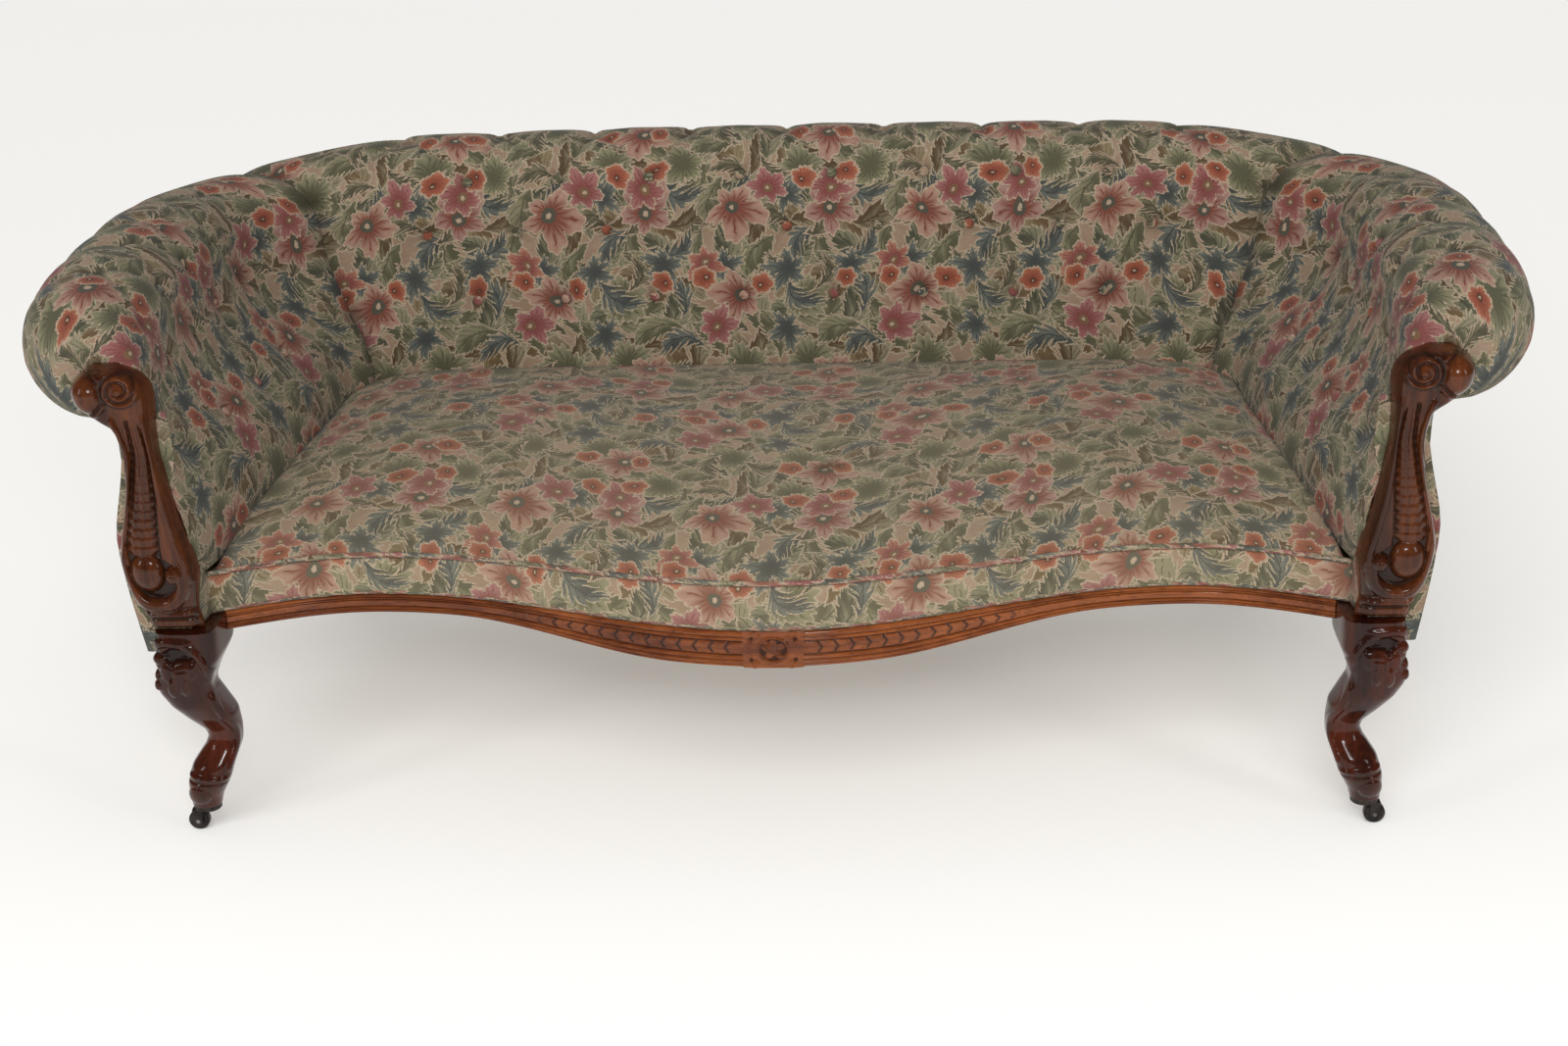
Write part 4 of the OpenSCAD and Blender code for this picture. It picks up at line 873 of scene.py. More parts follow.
def piping(name, height, forward, node, phase):
    """A covered cord along the serpentine front, a little uneven as hand sewing leaves it."""
    xs = np.linspace(-seat_front_x, seat_front_x, 461)
    turns = np.linspace(0, 2 * np.pi, 13)
    centre = np.stack([xs, front_line(xs) + forward - feet_y, height(xs)], -1)
    way = np.gradient(centre, axis=0)
    way = way / np.linalg.norm(way, axis=1, keepdims=True)
    side = np.cross(way, np.array([0, 0, 1.0]))
    side = side / np.linalg.norm(side, axis=1, keepdims=True)
    up = np.cross(side, way)
    radius = cord_radius + 0.00012 * np.sin(xs * 2 * np.pi / 0.019 + phase) * np.sin(xs * 31 + phase)
    ring = np.cos(turns)[:, None, None] * side[None] + np.sin(turns)[:, None, None] * up[None]
    place = centre[None] + ring * radius[None, :, None]
    across = lengths(centre[None], 1) + 0 * place[..., 0]
    along = turns[:, None] * cord_radius + 0 * across
    piece = cloth_grid(name, place, across + along, along + 0.11, 0.16 + 0 * across, piping_cloth, 0)
    tube = bmesh.new()
    tube.from_mesh(piece.data)
    bmesh.ops.remove_doubles(tube, verts=tube.verts, dist=0.00002)
    for sign in (-1, 1):
        ends = [edge for edge in tube.edges if edge.is_boundary and edge.verts[0].co.x * sign > 0]
        bmesh.ops.contextual_create(tube, geom=ends)
    bmesh.ops.recalc_face_normals(tube, faces=tube.faces)
    tube.to_mesh(piece.data)
    tube.free()
    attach(piece, "sofa")
    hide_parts(node)


piping("seat_piping_cloth", lambda x: 0.335 + 0 * x, 0.0, "seat_piping", 0.4)
piping("rail_piping_cloth", lambda x: rail_top(x) + 0.00385, 0.00295, "rail_piping", 2.2)

# Outside covers: plain stretched cloth on the outsides of the arms and back, under the roll.
# They are tacked along the seat rails and hidden where they turn under the scroll roll.
cover_foot_z = 0.2502
cover_thick = 0.0026
cover_return = np.array([0.062, 0.050, 0.038, 0.026, 0.014, 0.003])


def outside(name, lines, middle, returns):
    """A cover over the stations, and its length, height and area. returns turns it behind the facing."""
    reach, heading, slant = spread(lines)
    line = reach - lines["tuck"] * slant - 0.0005 * slant
    high = lines["middle"] - lines["radius"] * np.sin(np.arccos(lines["tuck"] / lines["radius"])) + 0.006
    shares = [0, 0.1, 0.2, 0.3, 0.4, 0.48, 0.56, 0.64, 0.72, 0.8, 0.9, 1]
    bow = [-0.0038, 0.0016, 0.0066, 0.0108, 0.0138, 0.0146, 0.0118, 0.0062, 0.0004, -0.0038, -0.0032, 0]
    offsets = np.array(bow)[:, None] * lines["flare"][None, :]
    rows = np.linspace(0, 1, 41)
    out = np.stack([np.interp(rows, shares, offsets[:, column]) for column in range(len(line))], 1)
    height = cover_foot_z + rows[:, None] * (high - cover_foot_z)[None, :]
    place = over_lines(lines, heading, line[None, :] + out, height)
    drag = np.sin(np.pi * rows)[:, None] * ripple(lines["tuft"][None, :] * 1.1, rows[:, None] * 5, 3.3)
    place = place + outward(place) * (0.0008 * drag)[..., None]
    if returns:
        tucked = np.repeat(place[:, :1], len(cover_return), axis=1)
        tucked[..., 0] -= cover_return
        tucked[..., 1] -= 0.0008
        place = np.concatenate([tucked, place], axis=1)
    across = lengths(place, 1)
    long = float(across[len(rows) // 2, -1])
    across = across - across[:, middle : middle + 1]
    along = lengths(place, 0)
    tall = float(along[-1].max())
    # Painted shade: the cover darkens towards its top, under the roll.
    fold = 0.5 * np.exp(-(1 - rows)[:, None] * 14) + 0 * across
    step_u = np.linalg.norm(np.diff(place, axis=1), axis=2)[:-1]
    step_v = np.linalg.norm(np.diff(place, axis=0), axis=2)[:, :-1]
    size = float((step_u * step_v).sum())
    piece = cloth_grid(name, place[:, ::-1], across[:, ::-1], along[:, ::-1], fold, back_cloth, 0)
    return piece, long, tall, size


cover_runs = np.linspace(0.0, arm_run, 90)
cover_angles = np.linspace(0, 45, 30)[1:]
cover_lines = joined(arm_stations(cover_runs), corner_stations(cover_angles))
back_angles = np.linspace(45, 90, 30)[:-1]
right_corner = {key: value[::-1] for key, value in corner_stations(back_angles).items()}
back_cover_lines = joined(mirrored(right_corner), back_stations(np.linspace(-1, 1, 120)), right_corner)
for name, lines, node, rests in (
    ("outside_arm_cloth_right", cover_lines, "outside_arm_right", "side_seat_rail_right"),
    ("outside_arm_cloth_left", cover_lines, "outside_arm_left", "side_seat_rail_left"),
    ("outside_back_cloth", back_cover_lines, "outside_back", "back_seat_rail"),
):
    cover, long, tall, size = outside(name, lines, len(lines["tuft"]) // 2, "arm" in name)
    if "left" in name:
        cover.data.transform(Matrix.Diagonal((-1, 1, 1, 1)))
        cover.data.flip_normals()
    thicken(cover, cover_thick)
    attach(cover, "sofa")
    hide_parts(node)
    long = max(long, size / tall)

# Dust cover: a sheet of thin hessian tacked under the frame, a little slack between its tacks.
# It hides the webbing and the springs from below, and is cut round the front and rear legs.
jute_yarn = 0.0021


def jute_finish():
    material, tree, shader = finish_of("jute_weave")
    place = source(tree, "ShaderNodeTexCoord", "Object")
    x, y, _ = place.vector("SCALE", None, None, 3.14159 / jute_yarn).parts()
    weave = x.math("SINE").math("ABSOLUTE") * y.math("SINE").math("ABSOLUTE")
    slub = place.vector("MULTIPLY", (40.0, 420.0, 40.0)).noise(1.0, 2.0)
    colour = slub.ramp(0.35, 0.65).paint(tone(126, 104, 70), tone(160, 138, 98))
    colour = weave.ramp(0.0, 0.35).paint(tone(74, 58, 38), colour)
    tree.links.new(colour.socket, shader.inputs["Base Color"])
    bumped(tree, shader, weave + slub, 0.6, 0.0006)
    shader.inputs["Roughness"].default_value = 0.92
    return material


jute_weave = jute_finish()
dust_z = 0.2479
dust_thick = 0.0008
dust_inset = 0.0290
leg_back = 0.0812
notch_half = 0.642
notch_front = 0.586
front_x = 0.6730
cut_step = 0.0004
rim_runs = np.linspace(0.0903, arm_run, 60)
rim_lines = joined(arm_stations(rim_runs), corner_stations(np.linspace(0, 90, 60)[1:]))
reach, heading, slant = spread(rim_lines)
rim_away = reach - (rim_lines["tuck"] + 0.0035) * slant - 0.007
edge = rim_lines["seat"] + heading * rim_away[:, None]
first_y = float(front_line(np.array(front_x))) + dust_inset
last_y = edge[-1, 1]
beside_legs = np.linspace(first_y, leg_back, 8)
between = np.linspace(leg_back + cut_step, notch_front, 60)
behind = np.linspace(notch_front + cut_step, last_y, 28)
depths = np.concatenate([beside_legs, between, behind])
half = np.interp(depths, edge[:, 1], edge[:, 0])
half = np.where(depths < leg_back + cut_step / 2, front_x, half)
half = np.where(depths > notch_front + cut_step / 2, np.minimum(half, notch_half), half)
u = np.linspace(-1, 1, 161)[None, :]
down = ((depths - first_y) / (last_y - first_y))[:, None]
start_y = front_line(u * front_x) + dust_inset
x = u * half[:, None]
y = mix(start_y, last_y, down)
slack = np.sin(np.pi * (u + 1) / 2) ** 0.5 * np.sin(np.pi * down) ** 0.5
z = dust_z - 0.0024 * slack * (1 + 0.4 * ripple(x * 5, y * 6, 2.7))


def grid_shape(place, fold):
    """A grid of faces over places, with each corner's painted shade kept for the finish in its fold
    attribute.
    """
    rows, columns = place.shape[:2]
    shape = bmesh.new()
    bmesh.ops.create_grid(shape, x_segments=columns - 1, y_segments=rows - 1, size=0.5)
    depth = shape.verts.layers.float.new("fold")
    for corner in shape.verts:
        column = round((corner.co.x + 0.5) * (columns - 1))
        row = round((corner.co.y + 0.5) * (rows - 1))
        corner[depth] = fold[row, column]
        corner.co = place[row, column]
    return shape


sheet_shape = grid_shape(np.stack([x, y - feet_y, z], -1), 0 * x)
for face in sheet_shape.faces:
    face.smooth = True
dust_area = sum(face.calc_area() for face in sheet_shape.faces)
sheet_mesh = bpy.data.meshes.new("dust_cloth")
sheet_shape.to_mesh(sheet_mesh)
sheet_shape.free()
sheet_mesh.materials.append(jute_weave)
dust_cloth = placed("dust_cloth", sheet_mesh)
thicken(dust_cloth, dust_thick)
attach(dust_cloth, "sofa")
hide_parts("dust_cover")
dust_size = (2 * float(half.max()), last_y - float(front_line(np.array(0.0))) - dust_inset)

# Polished wood: French-polished walnut or mahogany, red-brown, with painted shade in the carving's hollows.
# The grain follows each piece, and a clear coat gives the gloss.
def polish(name, dark, light, axis):
    material, tree, shader = finish_of(name)
    place = source(tree, "ShaderNodeTexCoord", "Object")
    scales = {"x": (1.6, 26.0, 26.0), "z": (26.0, 26.0, 1.6)}[axis]
    grain = place.vector("MULTIPLY", scales)
    broad = grain.noise(1.0, 3.0, 0.6)
    fine = grain.vector("SCALE", None, None, 7.0).noise(1.0, 3.0, 0.7)
    colour = (broad * 0.65 + fine * 0.35).ramp(0.33, 0.67).paint(dark, light)
    pores = place.vector("MULTIPLY", tuple(value * 22 for value in scales)).noise(1.0, 1.0)
    colour = pores.ramp(0.60, 0.70, 0.0, 0.5).paint(colour, tone(34, 14, 8))
    # Painted shade: the fold attribute darkens the colour almost to black in the carving's hollows, and makes
    # the finish rougher there.
    hollow_shade = source(tree, "ShaderNodeAttribute", 2, attribute_name="fold")
    colour = hollow_shade.ramp(0.0, 1.0, 0.0, 0.85).paint(colour, tone(20, 9, 6))
    tree.links.new(colour.socket, shader.inputs["Base Color"])
    rub = place.noise(60.0, 3.0, 0.6)
    tree.links.new((rub * 0.16 + 0.13 + hollow_shade * 0.3).socket, shader.inputs["Roughness"])
    bumped(tree, shader, fine + rub * 0.5, 0.12, 0.0006)
    shader.inputs["Specular IOR Level"].default_value = 0.1
    shader.inputs["Coat Weight"].default_value = 0.42
    shader.inputs["Coat Roughness"].default_value = 0.07
    return material


rail_wood = polish("rail_wood", tone(78, 36, 16), tone(138, 76, 38), "x")
facing_wood = polish("facing_wood", tone(42, 18, 8), tone(90, 46, 21), "z")
leg_wood = polish("leg_wood", tone(33, 12, 6), tone(72, 29, 14), "z")

# Show rail: the serpentine front rail of polished wood below the seat, shaped to a shallow apron.
# It is moulded along its whole length and carved with a roundel in the middle.
# The moulding's shares run from its back over the top and down its front: depth, then height.
rail_half = 0.6757
rail_deep = 0.022
rail_tall = 0.036
roundel_radius = 0.0195
nick_pitch = 0.0195
moulding_shares = np.array([
    (1, 0), (1, 1), (0.62, 1.0), (0.25, 1), (0.12, 0.97), (0.06, 0.93), (0.02, 0.885), (0.02, 0.855),
    (0.10, 0.83), (0.15, 0.815), (0.08, 0.79), (0.03, 0.76), (0.05, 0.73), (0.13, 0.71), (0.17, 0.695),
    (0.10, 0.675), (0.06, 0.64), (0.06, 0.55), (0.07, 0.46), (0.08, 0.38), (0.12, 0.345), (0.17, 0.33),
    (0.10, 0.31), (0.03, 0.285), (0.01, 0.255), (0.03, 0.225), (0.12, 0.205), (0.12, 0.195),
    (0.02, 0.17), (0.0, 0.14), (0.02, 0.11), (0.12, 0.09), (0.11, 0.08), (0.04, 0.05), (0.10, 0.02),
    (0.3, 0),
])


def bell(distance, wide):
    """A soft bump that is 1 at no distance and fades over its width."""
    return np.exp(-((distance / wide) ** 2))


xs = np.linspace(-rail_half, rail_half, 901)
strides = np.diff(moulding_shares * [rail_deep, rail_tall], axis=0)
steps = np.concatenate([[0], np.cumsum(np.hypot(*strides.T))])
fine = np.concatenate([np.linspace(0, steps[2], 4)[:-1], np.linspace(steps[2], steps[-1], 74)])
deep = np.interp(fine, steps, moulding_shares[:, 0])[:, None]
tall = np.interp(fine, steps, moulding_shares[:, 1])[:, None]
width = np.abs(xs)[None, :]
height = rail_height(xs)[None, :]
x = xs[None, :] + 0 * deep
y = front_line(x) + rail_deep * deep
z = rail_top(x) - height + height * tall
inside_band = smooth((tall - 0.36) / 0.03) * smooth((0.69 - tall) / 0.03) * (deep < 0.3)
slant = width / nick_pitch + 0.55 * np.abs((tall - 0.52) / 0.33)
nick = np.exp(-(from_line(slant) / 0.085) ** 1.2)
fade = smooth((0.33 - width) / 0.06) * smooth((width - 0.040) / 0.008)
relief = -0.0021 * nick * inside_band * fade
clear = smooth((width - 0.0355) / 0.002)
front = smooth((0.5 - deep) / 0.2)
rise_z = z - (rail_top(np.array(0.0)) - 0.5 * rail_height(np.array(0.0)))
radius = np.hypot(x, rise_z * 1.12)
disc = smooth((roundel_radius - radius) / 0.0012)
dish = smooth((0.0168 - radius) / 0.0016)
cross = (x + rise_z) / math.sqrt(2)
ribbon = smooth((0.0034 - np.abs(cross)) / 0.0008)
ribbon_lines = np.cos(cross * 2 * np.pi / 0.0022) * ribbon
lobes = np.abs(np.sin(np.arctan2(rise_z, x) * 2.5 + 0.6))
leafy = smooth((0.0155 * (0.55 + 0.45 * lobes) - radius) / 0.0014)
bracket = 0 * x
for sign in (-1, 1):
    for lean in (-1, 1):
        curve = sign * x - 0.0215 - 0.0100 * (1 - (rise_z * lean / 0.020 + 0.25) ** 2)
        bracket = np.maximum(bracket, bell(curve, 0.0022) * (sign * x > 0.016))
pocket = bell(np.abs(x) - 0.0265, 0.0032) * bell(np.abs(rise_z) - 0.0135, 0.0028)
block_face = 0.0008
base_cut = (rail_deep * deep - block_face) * (1 - clear) * front
medal = 0.0016 - 0.0030 * dish + 0.0018 * dish * leafy + 0.0030 * dish * ribbon + 0.0004 * ribbon_lines
medal = disc * medal + 0.0018 * bell(radius - 0.0182, 0.0011)
medal = medal + 0.0020 * bracket * (1 - disc) - 0.0028 * pocket * (1 - disc)
y = y - base_cut - (medal * (1 - clear) + relief) * front
# Painted shade: the rail darkens in the nicks of its band, in the sunk parts of the roundel and the pockets
# beside it, and in the hollows of the moulding.
sunk = 0.9 * dish * (1 - leafy) * (1 - ribbon) + pocket
fold = np.clip(-relief / 0.0016 + (1 - clear) * front * sunk, 0, 1)
groove = np.clip((deep - 0.075) / 0.08, 0, 1) * (deep < 0.3) * clear
fold = np.clip(fold + 0.8 * groove * (tall < 0.9), 0, 1)
place = np.stack([x, y - feet_y, z], -1)


def wood_piece(name, place, fold, material, node, ring):
    """A closed wooden piece over a grid of places. Where it is a ring, its first line meets its last."""
    grid = grid_shape(place, fold)
    mesh = bpy.data.meshes.new(name)
    if ring:
        bmesh.ops.remove_doubles(grid, verts=grid.verts, dist=0.000005)
    ends = [edge for edge in grid.edges if edge.is_boundary]
    bmesh.ops.holes_fill(grid, edges=ends, sides=0)
    bmesh.ops.recalc_face_normals(grid, faces=grid.faces)
    for face in grid.faces:
        face.smooth = len(face.verts) < 8
    grid.to_mesh(mesh)
    grid.free()
    mesh.materials.append(material)
    piece = placed(name, mesh)
    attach(piece, "sofa")
    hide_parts(node)


place = np.concatenate([place, place[:1]], axis=0)
fold = np.concatenate([fold, fold[:1]], axis=0)
wood_piece("carved_rail", place, fold, rail_wood, "show_rail", True)

# Arm facings: the carved fronts of the arms, from the volute at the top down to the lower scroll.
# Each is one piece of wood, carved with a raised edge, a sunk panel of graded husks and a ball.
# Its shares run up from the foot: height, inner side, outer side and how far it stands forward.
facing_inner_x = 0.684
facing_wide = 0.122
facing_foot_z = 0.2813
facing_back_y = -0.0100
facing_deep = 0.054
panel_deep = 0.0060
bead_z = 0.307
bead_groove_z = 0.300
facing_shares = np.array([
    [0, 0.03, 0.56, 0.4], [0.052, 0.05, 0.57, 0.45], [0.082, 0.07, 0.6, 0.54], [0.153, 0.04, 0.69, 0.64],
    [0.23, 0.01, 0.74, 0.71], [0.289, 0.04, 0.76, 0.71], [0.378, 0.11, 0.71, 0.68], [0.467, 0.16, 0.65, 0.64],
    [0.556, 0.2, 0.6, 0.64], [0.674, 0.25, 0.57, 0.68], [0.778, 0.25, 0.64, 0.79], [0.822, 0.24, 0.83, 0.89],
    [0.876, 0.23, 0.97, 0.97], [0.926, 0.25, 1, 1], [0.97, 0.35, 0.92, 0.93], [1, 0.58, 0.74, 0.79],
])


def eased(shares, t, width):
    """The columns of a table of shares over t, with their corners rounded."""
    kernel = np.hanning(width) / np.hanning(width).sum()
    columns = []
    for column in range(1, shares.shape[1]):
        line = np.pad(np.interp(t, shares[:, 0], shares[:, column]), width // 2, mode="edge")
        columns.append(np.convolve(line, kernel, mode="valid")[:, None])
    return columns


def ridge(x, z, points, widths, height):
    """Height of a rounded moulding that follows points, with its half width at each of them."""
    total = np.zeros_like(x)
    count = len(points) - 1
    smooth_points = []
    smooth_widths = []
    for index in range(count):
        before = np.array(points[max(index - 1, 0)])
        start = np.array(points[index])
        end = np.array(points[index + 1])
        after = np.array(points[min(index + 2, count)])
        for t in np.linspace(0, 1, 7)[:-1]:
            bent = 2 * start + (end - before) * t + (2 * before - 5 * start + 4 * end - after) * t**2
            bent = bent + (3 * start - before - 3 * end + after) * t**3
            smooth_points.append(bent / 2)
            smooth_widths.append(mix(widths[index], widths[index + 1], t))
    smooth_points.append(np.array(points[-1]))
    smooth_widths.append(widths[-1])
    for index in range(len(smooth_points) - 1):
        start = smooth_points[index]
        way = smooth_points[index + 1] - start
        size = max(float(way @ way), 1e-12)
        t = np.clip(((x - start[0]) * way[0] + (z - start[1]) * way[1]) / size, 0, 1)
        far = np.hypot(x - start[0] - way[0] * t, z - start[1] - way[1] * t)
        wide = mix(smooth_widths[index], smooth_widths[index + 1], t)
        total = np.maximum(total, np.sqrt(np.clip(1 - (far / wide) ** 2, 0, 1)) * height)
    return total


def ball(x, z, middle, wide, tall, height):
    """Height of a round or oval boss about its middle."""
    far = ((x - middle[0]) / wide) ** 2 + ((z - middle[1]) / tall) ** 2
    return height * np.sqrt(np.clip(1 - far, 0, 1))


def raised(under, bump, sink):
    """Lay a raised form over the surface, its foot sunk a little below the ground round it."""
    return np.where(bump > 0, np.maximum(under, bump - sink), under)


t = np.linspace(0, 1, 281)
inner, outer, forward = eased(facing_shares, t, 15)
inner = facing_inner_x + facing_wide * inner
outer = facing_inner_x + facing_wide * outer
edge = np.sin(np.linspace(-np.pi / 2, np.pi / 2, 91))[None, :]
x = (inner + outer) / 2 + (outer - inner) / 2 * edge
z = mix(facing_foot_z, arm_roll_z, t)[:, None] + 0 * x
crown = (1 - np.abs(edge) ** 5) ** 0.5
end = smooth(t / 0.03)[:, None] ** 0.5 * smooth((1 - t) / 0.02)[:, None] ** 0.5
curl_middle = (0.7425, 0.5965)
volute_middle = (0.7850, 0.5915)
curl_wide = 0.0262
eye = np.hypot(x - curl_middle[0], (z - curl_middle[1]) * 1.06)
swing = np.arctan2(z - curl_middle[1], x - curl_middle[0])
curl = 0.5 + 0.5 * np.cos((eye / 0.0085 + swing / (2 * np.pi)) * 2 * np.pi)
curl_share = smooth((curl_wide - eye) / 0.003)
from_ball = np.hypot(x - volute_middle[0], (z - volute_middle[1]) / 1.08)
panel_z = [0.33, 0.36, 0.40, 0.45, 0.51, 0.545, 0.58]
stem = np.interp(z, panel_z, [0.733, 0.740, 0.743, 0.7365, 0.7300, 0.7325, 0.740])
half = np.interp(z, panel_z, [0.012, 0.021, 0.022, 0.0175, 0.0120, 0.0095, 0.006])
panel = smooth((half - np.abs(x - stem)) / 0.0025)
panel = panel * smooth((z - 0.350) / 0.006) * smooth((0.562 - z) / 0.006)
bowl = smooth(ball(x, z, (0.7360, 0.3540), 0.0340, 0.0320, 1.0) * 2.5)
relief = -panel_deep * np.maximum(panel, bowl)
inner_edge = [
    (0.7210, 0.575), (0.7185, 0.545), (0.7160, 0.51), (0.7145, 0.475), (0.7110, 0.44), (0.7030, 0.405),
    (0.6960, 0.375), (0.6940, 0.352),
]
outer_edge = [
    (0.7560, 0.560), (0.7500, 0.54), (0.7470, 0.51), (0.7560, 0.465), (0.7665, 0.43), (0.7725, 0.395),
    (0.7690, 0.352), (0.7530, 0.327), (0.7310, 0.319), (0.7110, 0.327), (0.7000, 0.346), (0.7060, 0.365),
]
inner_widths = [0.004, 0.0045, 0.0048, 0.0050, 0.0055, 0.0060, 0.0060, 0.0050]
outer_widths = [0.004, 0.0040, 0.0045, 0.0055, 0.0065, 0.0075, 0.0085, 0.0095, 0.010, 0.0095, 0.008, 0.0055]
relief = raised(relief, ridge(x, z, inner_edge, inner_widths, 0.0068), 0.0010)
relief = raised(relief, ridge(x, z, outer_edge, outer_widths, 0.0092), 0.0010)
groove = ridge(x, z, outer_edge, [0.0012] * len(outer_edge), 1.0)
relief = relief - 0.0022 * groove * smooth((0.53 - z) / 0.02) * smooth((z - 0.345) / 0.02)
relief = raised(relief, ball(x, z, (0.7080, 0.3620), 0.0105, 0.0105, 0.0135), 0.0)
husk_rise = 0.0115
husk_z = [0.36, 0.40, 0.45, 0.51, 0.545]
husk_x = [0.741, 0.743, 0.7365, 0.7300, 0.7325]
husk_half = [0.019, 0.0195, 0.0150, 0.0098, 0.0075]
for tip_z in np.linspace(0.550, 0.392, 15):
    middle_x = float(np.interp(tip_z, husk_z, husk_x))
    wide = float(np.interp(tip_z, husk_z, husk_half))
    husk = ball(x, z, (middle_x, tip_z + 0.004), wide, husk_rise, 0.0035 + wide * 0.22)
    veins = 0.0007 * np.cos((x - middle_x) / wide * 12.0)
    tilt = 0.0016 * np.clip((tip_z + 0.004 - z) / husk_rise, -1, 1)
    relief = np.where(husk > 0, np.maximum(relief, husk + veins + tilt - panel_deep), relief)
relief = raised(relief, ball(x, z, (0.7410, 0.3640), 0.0205, 0.0250, 0.0135), panel_deep)
for tip_x, tip_z in ((0.6985, 0.404), (0.6950, 0.388), (0.6935, 0.371)):
    relief = raised(relief, ball(x, z, (tip_x, tip_z), 0.0080, 0.0095, 0.0068), 0.0008)
foot_bead = bell(z - bead_z, 0.0035) * 0.0040 - bell(z - bead_groove_z, 0.0018) * 0.0030
relief = relief + foot_bead - bell(z - 0.3145, 0.0018) * 0.0030
top_share = smooth((z - 0.552) / 0.016)
sweep = ridge(x, z, [(0.716, 0.600), (0.722, 0.618), (0.745, 0.6235), (0.770, 0.621)], [0.004] * 4, 0.004)
volute = 0.0130 * ball(x, z, volute_middle, 0.0225, 0.0245, 1.0)
volute = np.maximum(volute, 0.0050 * bell(from_ball - 0.0262, 0.0026))
volute = np.maximum(volute * (1 - curl_share), curl_share * (0.0042 * curl + 0.0006))
volute = np.maximum(volute, ball(x, z, curl_middle, 0.0058, 0.0058, 0.0085))
relief = relief * (1 - top_share) + top_share * (np.maximum(volute, sweep) - 0.0022)
carved = (facing_deep * forward * 0.80 + relief) * crown * end
y = facing_back_y - np.clip(carved, 0.0004, facing_deep - 0.0004)
# Painted shade: the facing darkens in its sunk panel and the groove along its outer moulding, in the curl and
# the ditch round the volute's ball, and in the groove below the foot bead.
ditch = bell(from_ball - 0.0232, 0.0014) * (1 - curl_share)
shade_top = np.maximum(curl_share * (1 - curl) ** 2 * (eye > 0.0056), ditch)
hollow_shade = 0.9 * np.clip(-relief / 0.0062, 0, 1) * (1 - top_share) + top_share * 0.9 * shade_top
hollow_shade = hollow_shade + 0.6 * bell(z - bead_groove_z, 0.0018) + 0.5 * groove * (z < 0.53)
hollow_shade = np.clip(hollow_shade, 0, 1) * crown
for side, sign in (("right", 1), ("left", -1)):
    place = np.stack([sign * x, y - feet_y, z], -1)
    wood_piece(f"carved_facing_{side}", place, hollow_shade, facing_wood, f"arm_facing_{side}", False)

# Front legs: short cabriole legs with a carved knee and a scroll toe, below each facing.
# One piece of the same wood, with a leaf on the knee and a ridge down the inner edge.
# Its shares run up from the toe: height, inner, outer, front and back side, and roundness.
leg_x = 0.676
leg_wide = 0.080
leg_foot_z = 0.037
leg_top_z = 0.281
leg_shares = np.array([
    [0, 0.29, 0.74, -0.22, 0.22, 0.9], [0.053, 0.24, 0.76, -0.27, 0.25, 0.9],
    [0.143, 0.09, 0.74, -0.37, 0.27, 0.85], [0.233, 0, 0.66, -0.3, 0.37, 0.8],
    [0.322, -0.1, 0.46, -0.1, 0.46, 0.8], [0.367, -0.11, 0.41, -0.05, 0.48, 0.8],
    [0.412, -0.11, 0.46, -0.07, 0.5, 0.75], [0.502, -0.09, 0.68, -0.25, 0.52, 0.65],
    [0.584, 0.03, 0.86, -0.38, 0.5, 0.6], [0.665, 0.14, 0.98, -0.45, 0.45, 0.6],
    [0.706, 0.14, 1, -0.47, 0.44, 0.55], [0.767, 0.08, 0.97, -0.46, 0.55, 0.45],
    [0.829, 0, 0.92, -0.44, 1, 0.12], [1, 0, 0.92, -0.4, 1, 0.12],
])
t = np.linspace(0, 1, 221)
*sides, roundness = eased(leg_shares, t, 13)
inner, outer, fore, aft = (side * leg_wide for side in sides)
power = mix(0.30, 1.0, roundness)
turn = np.linspace(0, 2 * np.pi, 161)[None, :]
cosine = np.sign(np.cos(turn)) * np.abs(np.cos(turn)) ** power
sine = np.sign(np.sin(turn)) * np.abs(np.sin(turn)) ** power
middle_x = leg_x + (inner + outer) / 2
middle_y = (fore + aft) / 2
x = middle_x + (outer - inner) / 2 * cosine
y = middle_y - (aft - fore) / 2 * sine
z = mix(leg_foot_z, leg_top_z, t)[:, None] + 0 * x
facing = smooth(np.sin(turn) * 1.4) + 0 * x
arch = [
    (0.7450, 0.240), (0.7520, 0.250), (0.7480, 0.264), (0.7330, 0.270), (0.7130, 0.266), (0.6960, 0.252),
    (0.6870, 0.232), (0.6850, 0.212), (0.6870, 0.190), (0.6800, 0.165), (0.6720, 0.142), (0.6715, 0.118),
    (0.6800, 0.090),
]
widths = [0.005, 0.006, 0.006, 0.006, 0.006, 0.0055, 0.005, 0.005, 0.0045, 0.004, 0.004, 0.004, 0.003]
relief = raised(0 * x, ridge(x, z, arch, widths, 0.0050), 0.0008)
relief = raised(relief, ball(x, z, (0.7430, 0.2480), 0.0070, 0.0070, 0.0074), 0.0)
recess = ball(x, z, (0.7200, 0.2460), 0.0235, 0.0175, 1.0) ** 0.7
relief = np.where(relief > 0.0004, relief, relief - 0.0062 * np.clip(recess * 1.4, 0, 1))
for lobe_x, lobe_z, wide, tall in (
    (0.7065, 0.2350, 0.0100, 0.0150), (0.7215, 0.2270, 0.0095, 0.0190), (0.7365, 0.2330, 0.0085, 0.0150),
    (0.7140, 0.2150, 0.0070, 0.0160), (0.7300, 0.2130, 0.0070, 0.0160),
):
    relief = raised(relief, ball(x, z, (lobe_x, lobe_z), wide, tall, 0.0062), 0.0022)
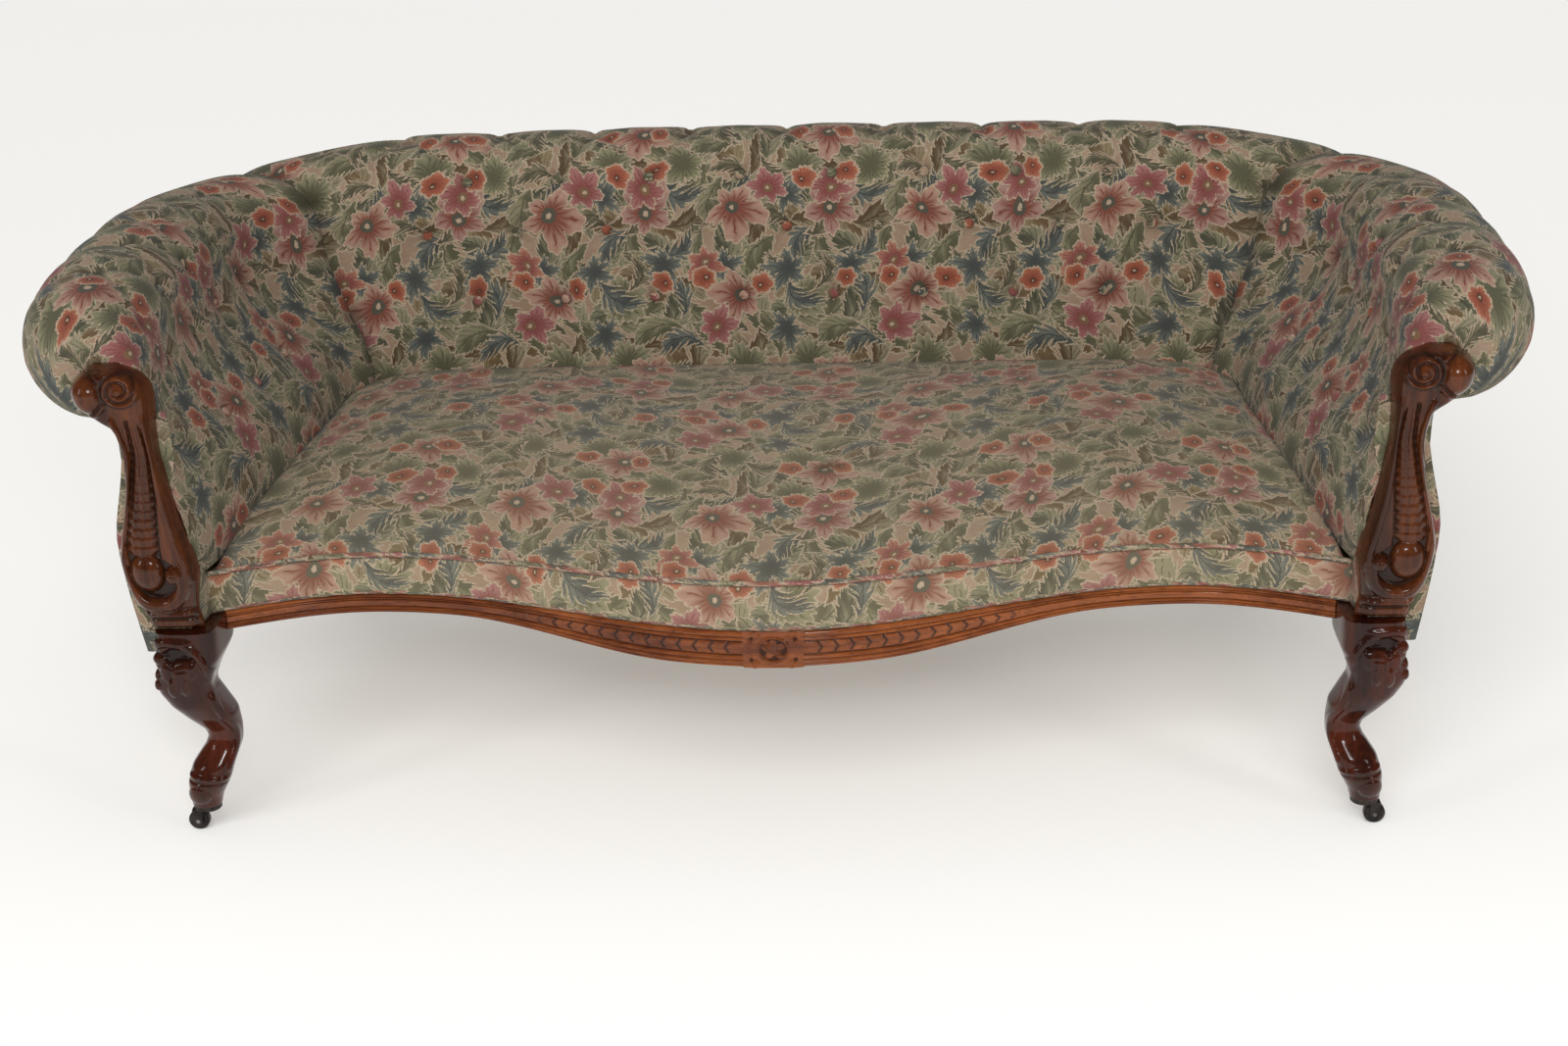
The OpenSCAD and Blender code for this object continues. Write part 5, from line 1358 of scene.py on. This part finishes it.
for index in range(5):
    bead = (0.7535 - 0.0008 * index, 0.262 - 0.0125 * index)
    relief = raised(relief, ball(x, z, bead, 0.0052, 0.0070, 0.0052), 0.0008)
ring_lean = 0.10 * (x - 0.70)
relief = relief + 0.0026 * bell(z - 0.0800 - ring_lean, 0.0032)
relief = relief - 0.0016 * bell(z - 0.0740 - ring_lean, 0.0020)
relief = relief + ball(x, z, (0.7200, 0.0560), 0.0150, 0.0135, 0.0046)
place = np.stack([x, y, z], -1)
normal = outward(place)
push = relief * facing * smooth((1 - t) / 0.02)[:, None]
away = np.stack([x - middle_x, y - middle_y, 0 * z], -1)
normal = np.where((normal * away).sum(2, keepdims=True) < 0, -normal, normal)
place = place + normal * push[..., None]
place[:, -1] = place[:, 0]
# Painted shade: the leg darkens in the recess of its knee and the groove of the ring above the toe, and in a
# thin line round the foot of the knee's carving.
hollow_shade = np.clip(-relief / 0.0035, 0, 1) * facing
hollow_shade = np.clip(hollow_shade + 0.35 * facing * bell(relief - 0.0002, 0.0005) * (z > 0.19), 0, 1)
for side, sign in (("right", 1), ("left", -1)):
    shape = place.copy()
    shape[..., 0] *= sign
    shape[..., 1] -= feet_y
    wood_piece(f"carved_leg_{side}", shape, hollow_shade, leg_wood, f"front_leg_{side}", True)

# Frame and castors: the CAD pieces whose shapes are right get the finish of their own material.
# They are sawn beech rails, jute webbing and hessian, drawn steel springs, screws and axles,
# and castors of dark iron.
def beech_finish():
    material, tree, shader = finish_of("sawn_beech")
    place = source(tree, "ShaderNodeTexCoord", "Object")
    grain = place.vector("MULTIPLY", (3.0, 30.0, 30.0)).noise(1.0, 4.0, 0.6)
    flecks = place.vector("MULTIPLY", (60.0, 700.0, 300.0)).noise(1.0, 1.0)
    colour = grain.ramp(0.3, 0.7).paint(tone(176, 138, 92), tone(204, 170, 122))
    colour = flecks.ramp(0.62, 0.7, 0.0, 0.6).paint(colour, tone(140, 98, 60))
    tree.links.new(colour.socket, shader.inputs["Base Color"])
    saw = place.vector("MULTIPLY", (420.0, 8.0, 8.0)).noise(1.0, 1.0)
    bumped(tree, shader, saw + grain * 0.5, 0.25, 0.0005)
    shader.inputs["Roughness"].default_value = 0.7
    return material


def metal_finish(name, dark, light, rough, metallic, pits):
    material, tree, shader = finish_of(name)
    place = source(tree, "ShaderNodeTexCoord", "Object")
    cast = place.noise(pits, 4.0, 0.6)
    worn = place.noise(70.0, 3.0, 0.6)
    colour = worn.ramp(0.42, 0.66).paint(dark, light)
    tree.links.new(colour.socket, shader.inputs["Base Color"])
    tree.links.new((worn * 0.25 + rough).socket, shader.inputs["Roughness"])
    bumped(tree, shader, cast, 0.25, 0.0004)
    shader.inputs["Metallic"].default_value = metallic
    return material


finishes = {
    "beech": beech_finish(),
    "jute": jute_weave,
    "steel": metal_finish("drawn_steel", tone(96, 96, 96), tone(150, 150, 148), 0.28, 1.0, 500.0),
    "castor_iron": metal_finish("castor_iron", tone(26, 22, 20), tone(52, 45, 40), 0.3, 0.55, 900.0),
    "show_wood": leg_wood,
    "back_fabric": back_cloth,
    "seat_fabric": seat_cloth,
    "piping": piping_cloth,
}
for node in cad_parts.values():
    for slot in node.material_slots:
        slot.material = finishes[slot.material.name.split(".")[0]]
